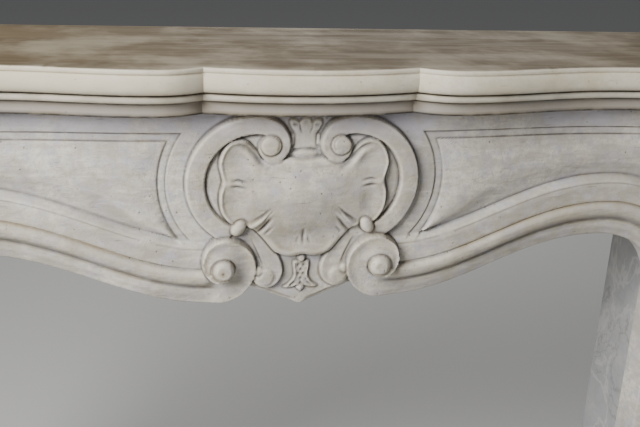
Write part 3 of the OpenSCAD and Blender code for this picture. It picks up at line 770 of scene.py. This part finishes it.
def makeJamb(name, side):
    s = jambStone
    tall = jambHigh[2]
    width = bodyHalf - openHalf
    d = np.concatenate([spread((0, 2.5, 5), (2.5, 20.5, 6), (20.5, 25.5, 8), (25.5, 48.5, 14), (48.5, 53, 8),
                               (53, 76, 4), (76, 89, 6), (89, width - 16, 6), (width - 16, width - 11, 7)),
                        np.linspace(width - 11, width, 6)])
    z = np.concatenate([[0, 4, 20] + footRows,
                        np.linspace(116, s["panelFoot"] - 4, 6), s["panelFoot"] + np.linspace(-2.5, 4, 9),
                        np.arange(s["panelFoot"] + 12, tall - s["panelHead"] - 12, 12),
                        tall - s["panelHead"] + np.linspace(-4, 2.5, 9),
                        np.linspace(tall - s["panelHead"] + 8, tall, 6)])
    dd, zz = np.meshgrid(d, z)
    x = openHalf + dd
    mould = through(dd, archMoulding)
    rollFoot, bevel = friezeStone["rollFoot"], friezeStone["bevel"]
    slope = friezeStone["rollFace"] * (1 - np.clip((dd - rollFoot) / (bevel - rollFoot), 0, 1))
    low = np.where(dd < rollFoot, mould, np.where(dd < bevel, slope, 0))
    inner = np.minimum(np.minimum(dd - 85, width - 14 - dd),
                       np.minimum(zz - s["panelFoot"], tall - s["panelHead"] - zz))
    sink = swing(inner, -0.6, 2.4)
    height = low * (1 - sink) + sink * -5.0
    height = height + 1.2 * np.exp(-((inner - 9) / 3.0) ** 2) * (inner > 2)
    stainAndShade = 0.6 * np.exp(-((inner - 1.8) / 1.3) ** 2)
    # the line at 23.1, just under the roll, is painted shade
    stainAndShade = np.maximum(stainAndShade, 0.75 * np.exp(-((dd - friezeStone["ochreAt"]) / 1.0) ** 2)
                       + 0.5 * np.exp(-((dd - 23.1) / 1.5) ** 2))
    onFoot = 1 - swing(zz, footHeight - 11, footHeight - 1.0)
    footFace = 21 - 1.4 * np.exp(-np.minimum(dd, width - dd) / 1.5)
    wavy = s["unevenness"] * (cloud(x * side, zz, 50, 21) + 0.5 * cloud(x * side, zz, 16, 22))
    height = (height * (1 - onFoot) + (footFace - 0.4) * onFoot) + np.abs(wavy) * -1
    stainAndShade = stainAndShade * (1 - onFoot) + 0.6 * np.exp(-((zz - footHeight - 1) / 1.6) ** 2)
    share = dd / width
    out = footOut * onFoot
    x = x - out * (1 - share) + out * share
    hollow = friezeHollow(openHalf + dd) * (1 - onFoot)
    face = np.stack([side * x, facePlane + hollow - height, zz], axis=2)
    narrow, wide, edges = hollowsAndEdges(face, np.array([0, -1, 0]))
    narrow = np.clip(0.2 * narrow + 1.15 * stainAndShade, 0, 1)
    marks = np.stack([narrow, 0.7 * wide, edges * (1 - narrow)], axis=2)
    rows, columns = dd.shape
    points, allMarks = [face.reshape(-1, 3)], [marks.reshape(-1, 3)]
    faces = gridFaces(rows, columns)
    index = np.arange(rows * columns).reshape(rows, columns)
    rim = np.concatenate([index[0, :], index[1:, -1], index[-1, -2::-1], index[-2:0:-1, 0]])
    flat = face.reshape(-1, 3)
    last, start = rim, len(flat)
    for share in (0.03, 0.12, 0.35, 0.7, 1.0):
        ring = flat[rim].copy()
        ring[:, 1] += (stoneBack - ring[:, 1]) * share
        points.append(ring)
        allMarks.append(np.tile([0.0, 0.1, 0.1], (len(ring), 1)))
        last = joinRings(faces, last, np.arange(start, start + len(ring)))
        start += len(ring)
    lowerEdge, rightEdge = last[:columns], last[columns - 1:columns + rows - 1]
    upperEdge = last[columns + rows - 2:2 * columns + rows - 2][::-1]
    leftEdge = np.concatenate([[last[0]], last[2 * columns + rows - 3:][::-1]])
    for i in range(rows - 1):
        faces.append((int(leftEdge[i]), int(rightEdge[i]), int(rightEdge[i + 1]), int(leftEdge[i + 1])))
    faces.append(tuple(int(v) for v in lowerEdge))
    faces.append(tuple(int(v) for v in upperEdge))
    piece = makePiece(name, np.concatenate(points), faces, np.concatenate(allMarks), 50)
    faceOutward(piece)
    return piece


for name, node, side in (("leftJambStone", "left_jamb", -1), ("rightJambStone", "right_jamb", 1)):
    jamb = makeJamb(name, side)
    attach(jamb, "root")
    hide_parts(node)
print("jambs made")


# The returns

returnStone = {
    "thickness": 66.0,
    "arris": 1.2,             # softened corners
}


def makeReturn(name, side):
    s = returnStone
    inX, outX = returnLow[0], returnLow[0] + s["thickness"]
    frontY, backY, top = returnLow[1], returnHigh[1], returnHigh[2]
    e = s["arris"]
    ys = np.linspace(frontY + e, backY - e, 22)
    loop = [(inX, y, 0.0) for y in ys[::-1]] + [(inX + e * 0.3, frontY + e * 0.3, 0.0)]
    loop += [(x, frontY, (x - inX) / s["thickness"]) for x in np.linspace(inX + e, outX - e, 8)]
    loop += [(outX - e * 0.3, frontY + e * 0.3, 1.0)] + [(outX, y, 1.0) for y in ys]
    loop += [(outX - e * 0.3, backY - e * 0.3, 1.0)]
    loop += [(x, backY, (x - inX) / s["thickness"]) for x in np.linspace(outX - e, inX + e, 8)]
    loop += [(inX + e * 0.3, backY - e * 0.3, 0.0)]
    loop = np.array(loop)
    z = np.concatenate([[0, 2, 20] + footRows,
                        np.linspace(120, top - 2, 44), [top]])
    rings, marks = [], []
    for level in z:
        onFoot = 1 - swing(level, footHeight - 11, footHeight - 1.0)
        ring = np.zeros((len(loop), 3))
        inset = 0.22 * (1 + cloud(loop[:, 0] + loop[:, 1], np.full(len(loop), level), 48, 31 + side))
        outer = loop[:, 2] == 1.0
        inner = loop[:, 2] == 0.0
        ring[:, 0] = loop[:, 0] + footOut * onFoot * loop[:, 2] + inset * inner - inset * outer
        ring[:, 0] *= side
        ring[:, 1] = loop[:, 1]
        ring[:, 2] = level
        rings.append(ring)
        darkLines = 0.5 * math.exp(-((level - footHeight - 1) / 1.6) ** 2)
        marks.append(np.tile([darkLines, 0.0, 0.0], (len(loop), 1)))
    points = np.concatenate(rings)
    n = len(loop)
    faces = []
    for i in range(len(z) - 1):
        for j in range(n):
            k = (j + 1) % n
            faces.append((i * n + j, i * n + k, (i + 1) * n + k, (i + 1) * n + j))
    faces.append(tuple(range(n)))
    faces.append(tuple((len(z) - 1) * n + j for j in range(n)))
    piece = makePiece(name, points, faces, np.concatenate(marks), 35)
    faceOutward(piece)
    return piece


for name, node, side in (("leftReturnStone", "left_return", -1), ("rightReturnStone", "right_return", 1)):
    stone = makeReturn(name, side)
    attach(stone, "root")
    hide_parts(node)
print("returns made")


# Shader node groups shared by the stones

def newGroup(name, inputs, outputs):
    group = bpy.data.node_groups.new(name, "ShaderNodeTree")
    for label, kind, value in inputs:
        socket = group.interface.new_socket(label, in_out="INPUT", socket_type=kind)
        socket.default_value = value
    for label, kind in outputs:
        group.interface.new_socket(label, in_out="OUTPUT", socket_type=kind)
    start = group.nodes.new("NodeGroupInput")
    end = group.nodes.new("NodeGroupOutput")
    return group, start, end


def add(tree, kind, links=None, **settings):
    # a node with its settings, its sockets filled with values or joined to other sockets
    node = tree.nodes.new(kind)
    for key, value in settings.items():
        setattr(node, key, value)
    for key, value in (links or {}).items():
        socket = node.inputs[key]
        if isinstance(value, bpy.types.NodeSocket):
            tree.links.new(value, socket)
        else:
            socket.default_value = value
    return node


def mathNode(tree, operation, a, b=0.0, clamp=False):
    return add(tree, "ShaderNodeMath", {0: a, 1: b}, operation=operation, use_clamp=clamp).outputs[0]


def product(tree, a, b, clamp=False):
    return mathNode(tree, "MULTIPLY", a, b, clamp)


def objectSpace(tree):
    return add(tree, "ShaderNodeTexCoord").outputs["Object"]


def remap(tree, value, low, high, toLow=0.0, toHigh=1.0):
    node = add(tree, "ShaderNodeMapRange", {"Value": value, "From Min": low, "From Max": high,
                                            "To Min": toLow, "To Max": toHigh},
               interpolation_type="SMOOTHSTEP")
    return node.outputs["Result"]


def mixColour(tree, factor, a, b, blend="MIX"):
    node = add(tree, "ShaderNodeMix", {0: factor, 6: a, 7: b}, data_type="RGBA", blend_type=blend)
    return node.outputs[2]


def noise(tree, where, scale, detail=4.0, rough=0.55, distortion=0.0):
    return add(tree, "ShaderNodeTexNoise", {"Vector": where, "Scale": scale, "Detail": detail,
                                            "Roughness": rough, "Distortion": distortion}).outputs["Fac"]


def rgb(r, g, b):
    # a colour given as it looks on screen, 0 to 255
    def linear(c):
        c /= 255
        return c / 12.92 if c <= 0.04045 else ((c + 0.055) / 1.055) ** 2.4
    return (linear(r), linear(g), linear(b), 1.0)


def makeStoneTone():
    # cloudy patches and faint bedding streaks of an old limestone
    group, start, end = newGroup("stoneTone",
        [("Light", "NodeSocketColor", (0.6, 0.6, 0.55, 1)),
         ("Shade", "NodeSocketColor", (0.5, 0.48, 0.44, 1)),
         ("Tint", "NodeSocketColor", (0.5, 0.48, 0.5, 1)), ("Patch Scale", "NodeSocketFloat", 6.0),
         ("Streak Scale", "NodeSocketFloat", 14.0), ("Streak Strength", "NodeSocketFloat", 0.35)],
        [("Color", "NodeSocketColor"), ("Cloud", "NodeSocketFloat")])
    where = objectSpace(group)
    patches = noise(group, where, start.outputs["Patch Scale"], 5.0, 0.6, 0.3)
    small = noise(group, where, product(group, start.outputs["Patch Scale"], 7.0), 4.0, 0.6)
    flat = add(group, "ShaderNodeMapping", {"Vector": where, "Scale": (1.0, 2.2, 7.0)}).outputs[0]
    streaks = noise(group, flat, start.outputs["Streak Scale"], 4.0, 0.6, 0.8)
    cloudy = remap(group, patches, 0.40, 0.62)
    tone = mixColour(group, cloudy, start.outputs["Light"], start.outputs["Shade"])
    tinted = product(group, remap(group, small, 0.44, 0.66), 0.75)
    tone = mixColour(group, tinted, tone, start.outputs["Tint"])
    streaky = product(group, remap(group, streaks, 0.46, 0.66), start.outputs["Streak Strength"])
    tone = mixColour(group, streaky, tone, start.outputs["Shade"])
    paleStreaks = product(group, remap(group, streaks, 0.46, 0.30), start.outputs["Streak Strength"])
    tone = mixColour(group, paleStreaks, tone, start.outputs["Light"])
    mottle = product(group, remap(group, noise(group, where, 95.0, 5.0, 0.65), 0.44, 0.66), 0.55)
    tone = mixColour(group, mottle, tone, start.outputs["Shade"])
    specks = product(group, remap(group, noise(group, where, 340.0, 2.0, 0.6), 0.52, 0.72), 0.55)
    tone = mixColour(group, specks, tone, start.outputs["Shade"])
    group.links.new(tone, end.inputs["Color"])
    group.links.new(cloudy, end.inputs["Cloud"])
    return group


def makeGrooveDirtAndShade():
    # dark dirt and painted shade in narrow lines with an ochre wash beside them, and another tone in wider
    # hollows, which on the shelf is painted shade
    group, start, end = newGroup("grooveDirtAndShade",
        [("Color", "NodeSocketColor", (0.5, 0.5, 0.5, 1)), ("Narrow", "NodeSocketFloat", 0.0),
         ("Wide", "NodeSocketFloat", 0.0), ("Dark", "NodeSocketColor", (0.08, 0.07, 0.06, 1)),
         ("Ochre", "NodeSocketColor", (0.4, 0.3, 0.15, 1)), ("Hollow", "NodeSocketColor", (0.5, 0.5, 0.5, 1)),
         ("Dark Amount", "NodeSocketFloat", 0.8), ("Ochre Amount", "NodeSocketFloat", 0.4),
         ("Wide Amount", "NodeSocketFloat", 0.4)],
        [("Color", "NodeSocketColor"), ("Mask", "NodeSocketFloat")])
    where = objectSpace(group)
    broken = remap(group, noise(group, where, 38.0, 5.0, 0.65), 0.28, 0.58, 0.6, 1.0)
    patchy = remap(group, noise(group, where, 9.0, 4.0, 0.6), 0.42, 0.62)
    washes = product(group, start.outputs["Wide"], start.outputs["Wide Amount"], True)
    lineWash = product(group, mathNode(group, "POWER", start.outputs["Narrow"], 0.5),
                       product(group, start.outputs["Ochre Amount"], 0.9), True)
    washed = mixColour(group, washes, start.outputs["Color"], start.outputs["Hollow"])
    washed = mixColour(group, product(group, lineWash, patchy), washed, start.outputs["Ochre"])
    lines = product(group, mathNode(group, "POWER", start.outputs["Narrow"], 0.9),
                    product(group, broken, start.outputs["Dark Amount"]), True)
    result = mixColour(group, lines, washed, start.outputs["Dark"])
    group.links.new(result, end.inputs["Color"])
    group.links.new(lines, end.inputs["Mask"])
    return group


def makeEdgeWearAndHighlight():
    # paler, rubbed stone on the arrises, partly a painted highlight where they catch the light
    group, start, end = newGroup("edgeWearAndHighlight",
        [("Color", "NodeSocketColor", (0.5, 0.5, 0.5, 1)), ("Edge", "NodeSocketFloat", 0.0),
         ("Worn", "NodeSocketColor", (0.7, 0.68, 0.62, 1)), ("Amount", "NodeSocketFloat", 0.5)],
        [("Color", "NodeSocketColor")])
    where = objectSpace(group)
    rubbed = remap(group, noise(group, where, 24.0, 4.0, 0.6), 0.30, 0.62, 0.25, 1.0)
    mask = product(group, product(group, start.outputs["Edge"], rubbed), start.outputs["Amount"], True)
    wornAndLit = mixColour(group, mask, start.outputs["Color"], start.outputs["Worn"])
    group.links.new(wornAndLit, end.inputs["Color"])
    return group


def makePitting():
    # small dark pits and short scratches of worn stone
    group, start, end = newGroup("pitting",
        [("Color", "NodeSocketColor", (0.5, 0.5, 0.5, 1)),
         ("Pit Color", "NodeSocketColor", (0.2, 0.18, 0.16, 1)),
         ("Amount", "NodeSocketFloat", 0.6), ("Spread", "NodeSocketFloat", 0.5)],
        [("Color", "NodeSocketColor"), ("Height", "NodeSocketFloat")])
    where = objectSpace(group)
    cells = add(group, "ShaderNodeTexVoronoi", {"Vector": where, "Scale": 150.0, "Randomness": 1.0})
    dots = remap(group, cells.outputs["Distance"], 0.24, 0.08)
    some = add(group, "ShaderNodeSeparateColor", {"Color": cells.outputs["Color"]}).outputs[0]
    chosen = mathNode(group, "LESS_THAN", some, product(group, start.outputs["Spread"], 0.25))
    crowd = remap(group, noise(group, where, 7.0, 3.0), 0.40, 0.62, 0.25, 1.0)
    pits = product(group, product(group, dots, chosen), crowd)
    turned = add(group, "ShaderNodeMapping", {"Vector": where, "Rotation": (0.0, 0.45, 0.0),
                                              "Scale": (40.0, 40.0, 420.0)}).outputs[0]
    hairs = remap(group, noise(group, turned, 1.0, 2.0, 0.4), 0.70, 0.78)
    hairs = product(group, hairs, 0.45)
    mask = product(group, mathNode(group, "MAXIMUM", pits, hairs), start.outputs["Amount"], True)
    pitted = mixColour(group, mask, start.outputs["Color"], start.outputs["Pit Color"])
    group.links.new(pitted, end.inputs["Color"])
    group.links.new(product(group, mask, -1.0), end.inputs["Height"])
    return group


def makeStoneGrain():
    # height of fine grain over soft dressing marks
    group, start, end = newGroup("stoneGrain",
        [("Grain", "NodeSocketFloat", 0.5), ("Dressing", "NodeSocketFloat", 0.5)],
        [("Height", "NodeSocketFloat")])
    where = objectSpace(group)
    fine = noise(group, where, 620.0, 3.0, 0.6)
    middle = noise(group, where, 130.0, 4.0, 0.6)
    worked = add(group, "ShaderNodeMapping", {"Vector": where, "Scale": (1.0, 1.0, 2.5)}).outputs[0]
    dressing = noise(group, worked, 34.0, 4.0, 0.55, 0.4)
    grain = mathNode(group, "ADD", product(group, fine, 0.45), product(group, middle, 0.55))
    grain = product(group, grain, start.outputs["Grain"])
    height = mathNode(group, "ADD", grain, product(group, dressing, start.outputs["Dressing"]))
    group.links.new(height, end.inputs["Height"])
    return group


stoneTone, grooveDirtAndShade, edgeWearAndHighlight, pitting, stoneGrain = (
    makeStoneTone(), makeGrooveDirtAndShade(), makeEdgeWearAndHighlight(), makePitting(), makeStoneGrain())
print("node groups made")


def placeGroup(tree, group, links):
    node = tree.nodes.new("ShaderNodeGroup")
    node.node_tree = group
    for key, value in links.items():
        if isinstance(value, bpy.types.NodeSocket):
            tree.links.new(value, node.inputs[key])
        else:
            node.inputs[key].default_value = value
    return node


def newMaterial(name):
    material = bpy.data.materials.new(name)
    material.use_nodes = True
    tree = material.node_tree
    shader = tree.nodes["Principled BSDF"]
    marks = add(tree, "ShaderNodeAttribute", attribute_name="carveMarks")
    split = add(tree, "ShaderNodeSeparateColor", {"Color": marks.outputs["Color"]})
    return material, tree, shader, [*split.outputs[:3], marks.outputs["Alpha"]]


def weathered(tree, colour, f, marks, amounts):
    # pits, then dirt and painted shade in the lines and hollows, then worn edges with a painted highlight
    pitAmount, pitSpread, dark, ochre, wide, wornAndLit = amounts
    pits = placeGroup(tree, pitting, {"Color": colour, "Pit Color": f["pit"], "Amount": pitAmount,
                                      "Spread": pitSpread})
    darkLines = placeGroup(tree, grooveDirtAndShade, {"Color": pits.outputs["Color"], "Narrow": marks[0], "Wide": marks[1],
                                         "Dark": f["dark"], "Ochre": f["ochre"], "Hollow": f["hollow"],
                                         "Dark Amount": dark, "Ochre Amount": ochre, "Wide Amount": wide})
    wearAndHighlight = placeGroup(tree, edgeWearAndHighlight, {"Color": darkLines.outputs["Color"], "Edge": marks[2], "Worn": f["wornAndLit"],
                                       "Amount": wornAndLit})
    return wearAndHighlight.outputs["Color"], pits.outputs["Height"], darkLines.outputs["Mask"]


def finishStone(tree, shader, colour, heights, rough, bump):
    # colour, roughness, and one bump from the heights
    tree.links.new(colour, shader.inputs["Base Color"])
    tree.links.new(rough, shader.inputs["Roughness"])
    total = heights[0]
    for height in heights[1:]:
        total = mathNode(tree, "ADD", total, height)
    node = add(tree, "ShaderNodeBump", {"Strength": bump, "Distance": 0.002, "Height": total})
    tree.links.new(node.outputs[0], shader.inputs["Normal"])


# amounts: pits and their spread, dark, ochre and wide marks (dirt, and painted shade in places), worn edges
# with a painted highlight
carvedFinish = {
    "light": rgb(218, 212, 198), "shade": rgb(172, 166, 154), "tint": rgb(184, 180, 190),
    "dark": rgb(54, 49, 43), "ochre": rgb(172, 152, 110), "wornAndLit": rgb(226, 220, 204),
    # cool: a lavender tint, made pale as painted light for the margin under the shelf
    "pit": rgb(112, 104, 94), "cool": rgb(204, 201, 212), "hollow": rgb(196, 197, 205),
    "amounts": (0.6, 0.5, 0.9, 0.6, 0.45, 0.45),
}


def makeCarvedMaterial():
    f = carvedFinish
    material, tree, shader, marks = newMaterial("carvedLimestone")
    tone = placeGroup(tree, stoneTone, {"Light": f["light"], "Shade": f["shade"], "Tint": f["tint"],
                                        "Patch Scale": 8.0, "Streak Scale": 12.0, "Streak Strength": 0.5})
    # cool bloom on the plain margin just under the shelf, made pale as painted light against the shelf's
    # shadow
    where = objectSpace(tree)
    height = add(tree, "ShaderNodeSeparateXYZ", {"Vector": where}).outputs["Z"]
    high = remap(tree, height, underShelf * mm - 0.050, underShelf * mm - 0.012)
    bloomAndLight = product(tree, high, remap(tree, noise(tree, where, 16.0, 4.0, 0.6), 0.34, 0.60, 0.15, 0.85))
    bloomedAndLit = mixColour(tree, bloomAndLight, tone.outputs["Color"], f["cool"])
    uneven = remap(tree, noise(tree, where, 21.0, 4.0, 0.6), 0.32, 0.60, 0.35, 1.0)
    bloomedAndLit = mixColour(tree, product(tree, marks[3], uneven), bloomedAndLit, f["ochre"])
    colour, pits, darkLines = weathered(tree, bloomedAndLit, f, marks, f["amounts"])
    grain = placeGroup(tree, stoneGrain, {"Grain": 0.7, "Dressing": 1.1})
    rough = remap(tree, tone.outputs["Cloud"], 0.0, 1.0, 0.50, 0.62)
    rough = mathNode(tree, "ADD", rough, product(tree, darkLines, 0.2), True)
    finishStone(tree, shader, colour, [grain.outputs["Height"], pits], rough, 0.75)
    shader.inputs["Specular IOR Level"].default_value = 0.42
    return material


shelfFinish = {
    "light": rgb(220, 212, 193), "shade": rgb(204, 193, 168), "tint": rgb(209, 196, 166),
    "dark": rgb(34, 30, 26), "ochre": rgb(170, 148, 106), "wornAndLit": rgb(232, 225, 208), "pit": rgb(112, 98, 80),
    # hollow: painted shade for the lower mouldings
    "honey": rgb(112, 96, 68), "honeyDeep": rgb(92, 78, 55), "hollow": rgb(132, 126, 121),
    "amounts": (0.6, 0.45, 1.0, 0.45, 0.8, 0.5),
}


def makeShelfMaterial():
    f = shelfFinish
    material, tree, shader, marks = newMaterial("shelfLimestone")
    tone = placeGroup(tree, stoneTone, {"Light": f["light"], "Shade": f["shade"], "Tint": f["tint"],
                                        "Patch Scale": 4.0, "Streak Scale": 7.0, "Streak Strength": 0.45})
    # the top has a honey skin with long wiped streaks, thin at the rounded front edge
    where = objectSpace(tree)
    normal = add(tree, "ShaderNodeNewGeometry").outputs["True Normal"]
    facing = add(tree, "ShaderNodeSeparateXYZ", {"Vector": normal})
    upward = remap(tree, facing.outputs["Z"], 0.80, 0.985)
    long = add(tree, "ShaderNodeMapping", {"Vector": where, "Scale": (1.2, 11.0, 1.0)}).outputs[0]
    wiped = remap(tree, noise(tree, long, 3.2, 6.0, 0.62, 0.6), 0.34, 0.68)
    blotch = remap(tree, noise(tree, where, 9.0, 4.0, 0.6), 0.40, 0.70)
    skin = mixColour(tree, wiped, f["honey"], f["honeyDeep"])
    skin = mixColour(tree, product(tree, blotch, 0.35), skin, f["shade"])
    coloured = mixColour(tree, upward, tone.outputs["Color"], skin)
    colour, pits, _ = weathered(tree, coloured, f, marks, f["amounts"])
    grain = placeGroup(tree, stoneGrain, {"Grain": 0.35, "Dressing": 0.35})
    rough = remap(tree, wiped, 0.0, 1.0, 0.60, 0.75)
    finishStone(tree, shader, colour, [grain.outputs["Height"], pits], rough, 0.4)
    shader.inputs["Specular IOR Level"].default_value = 0.28
    return material


returnFinish = {
    "light": rgb(176, 175, 172), "shade": rgb(156, 156, 156), "tint": rgb(166, 166, 170),
    "vein": rgb(198, 196, 190), "dark": rgb(112, 110, 108), "ochre": rgb(150, 138, 116),
    "wornAndLit": rgb(196, 194, 188), "pit": rgb(84, 82, 80), "hollow": rgb(156, 156, 156),
    "amounts": (0.5, 0.4, 0.7, 0.3, 0.3, 0.4),
}


def makeReturnMaterial():
    f = returnFinish
    material, tree, shader, marks = newMaterial("greyVeinedStone")
    tone = placeGroup(tree, stoneTone, {"Light": f["light"], "Shade": f["shade"], "Tint": f["tint"],
                                        "Patch Scale": 7.0, "Streak Scale": 5.0, "Streak Strength": 0.3})
    where = objectSpace(tree)
    bent = add(tree, "ShaderNodeMapping", {"Vector": where, "Rotation": (0.5, 0.0, 0.3),
                                           "Scale": (1.0, 1.0, 0.45)}).outputs[0]
    folds = noise(tree, bent, 9.0, 6.0, 0.55, 1.6)
    vein = remap(tree, mathNode(tree, "ABSOLUTE", mathNode(tree, "SUBTRACT", folds, 0.5)), 0.035, 0.004)
    darkVein = remap(tree, mathNode(tree, "ABSOLUTE", mathNode(tree, "SUBTRACT", folds, 0.60)), 0.02, 0.003)
    veined = mixColour(tree, product(tree, vein, 0.5), tone.outputs["Color"], f["vein"])
    veined = mixColour(tree, product(tree, darkVein, 0.4), veined, f["dark"])
    colour, pits, _ = weathered(tree, veined, f, marks, f["amounts"])
    grain = placeGroup(tree, stoneGrain, {"Grain": 0.5, "Dressing": 0.4})
    rough = remap(tree, tone.outputs["Cloud"], 0.0, 1.0, 0.45, 0.6)
    finishStone(tree, shader, colour, [grain.outputs["Height"], pits], rough, 0.4)
    return material


carvedStone, shelfTop, greyStone = makeCarvedMaterial(), makeShelfMaterial(), makeReturnMaterial()
frieze.data.materials.append(carvedStone)
shelf.data.materials.append(shelfTop)
for name in ("leftJambStone", "rightJambStone"):
    bpy.data.objects[name].data.materials.append(carvedStone)
for name in ("leftReturnStone", "rightReturnStone"):
    bpy.data.objects[name].data.materials.append(greyStone)
print("stone finishes made")


# Floor, light and camera

studio = {
    "floorColour": rgb(202, 201, 198),
    "worldColour": (0.84, 0.86, 0.90), "worldStrength": 0.16,
    "keyPower": 97.0, "keyPlace": (-1.55, -1.30, 1.95), "keyWidth": 1.2,
    "fillPower": 1.5, "fillPlace": (2.4, -2.2, 1.6), "fillWidth": 2.0,
    "backPower": 45.0, "backPlace": (0.9, 3.4, 2.6), "backWidth": 2.4,
}
cameraSetup = {"place": (-0.2067, -1.1966, 1.2944), "yaw": 0.2056, "pitch": 0.3517, "roll": 0.0450,
               "lens": 52.03}

floorMesh = bpy.data.meshes.new("studioFloor")
floorMesh.from_pydata([(-20, -20, 0), (20, -20, 0), (20, 20, 0), (-20, 20, 0)], [], [(0, 1, 2, 3)])
floor = bpy.data.objects.new("studioFloor", floorMesh)
bpy.context.scene.collection.objects.link(floor)
floorPaint = bpy.data.materials.new("studioPaint")
floorPaint.use_nodes = True
floorPaint.node_tree.nodes["Principled BSDF"].inputs["Base Color"].default_value = studio["floorColour"]
floorPaint.node_tree.nodes["Principled BSDF"].inputs["Roughness"].default_value = 0.9
floorMesh.materials.append(floorPaint)

world = bpy.data.worlds.new("studioWorld")
bpy.context.scene.world = world
world.use_nodes = True
background = world.node_tree.nodes["Background"]
background.inputs["Color"].default_value = (*studio["worldColour"], 1.0)
background.inputs["Strength"].default_value = studio["worldStrength"]


def makeLight(name, place, width, power, target):
    lamp = bpy.data.lights.new(name, "AREA")
    lamp.shape = "SQUARE"
    lamp.size = width
    lamp.energy = power
    holder = bpy.data.objects.new(name, lamp)
    holder.location = place
    holder.rotation_euler = (Vector(target) - Vector(place)).to_track_quat("-Z", "Y").to_euler()
    bpy.context.scene.collection.objects.link(holder)


for lit, target in (("key", (-0.1, -0.1, 0.85)), ("fill", (0.1, -0.1, 0.8)), ("back", (0.4, 1.4, 0.2))):
    makeLight(lit + "Light", studio[lit + "Place"], studio[lit + "Width"], studio[lit + "Power"], target)

camera = bpy.data.objects.new("camera", bpy.data.cameras.new("camera"))
turned = (Matrix.Rotation(-cameraSetup["yaw"], 3, "Z") @ Matrix.Rotation(-cameraSetup["pitch"], 3, "X")
          @ Matrix.Rotation(-cameraSetup["roll"], 3, "Y"))
right, forward, up = turned.col[0], turned.col[1], turned.col[2]
camera.matrix_world = Matrix.Translation(cameraSetup["place"]) @ Matrix((
    (right[0], up[0], -forward[0]), (right[1], up[1], -forward[1]), (right[2], up[2], -forward[2]))).to_4x4()
camera.data.lens = cameraSetup["lens"]
camera.data.sensor_width = 36.0
camera.data.clip_end = 60.0
bpy.context.scene.collection.objects.link(camera)
bpy.context.scene.camera = camera
print("camera and light set")
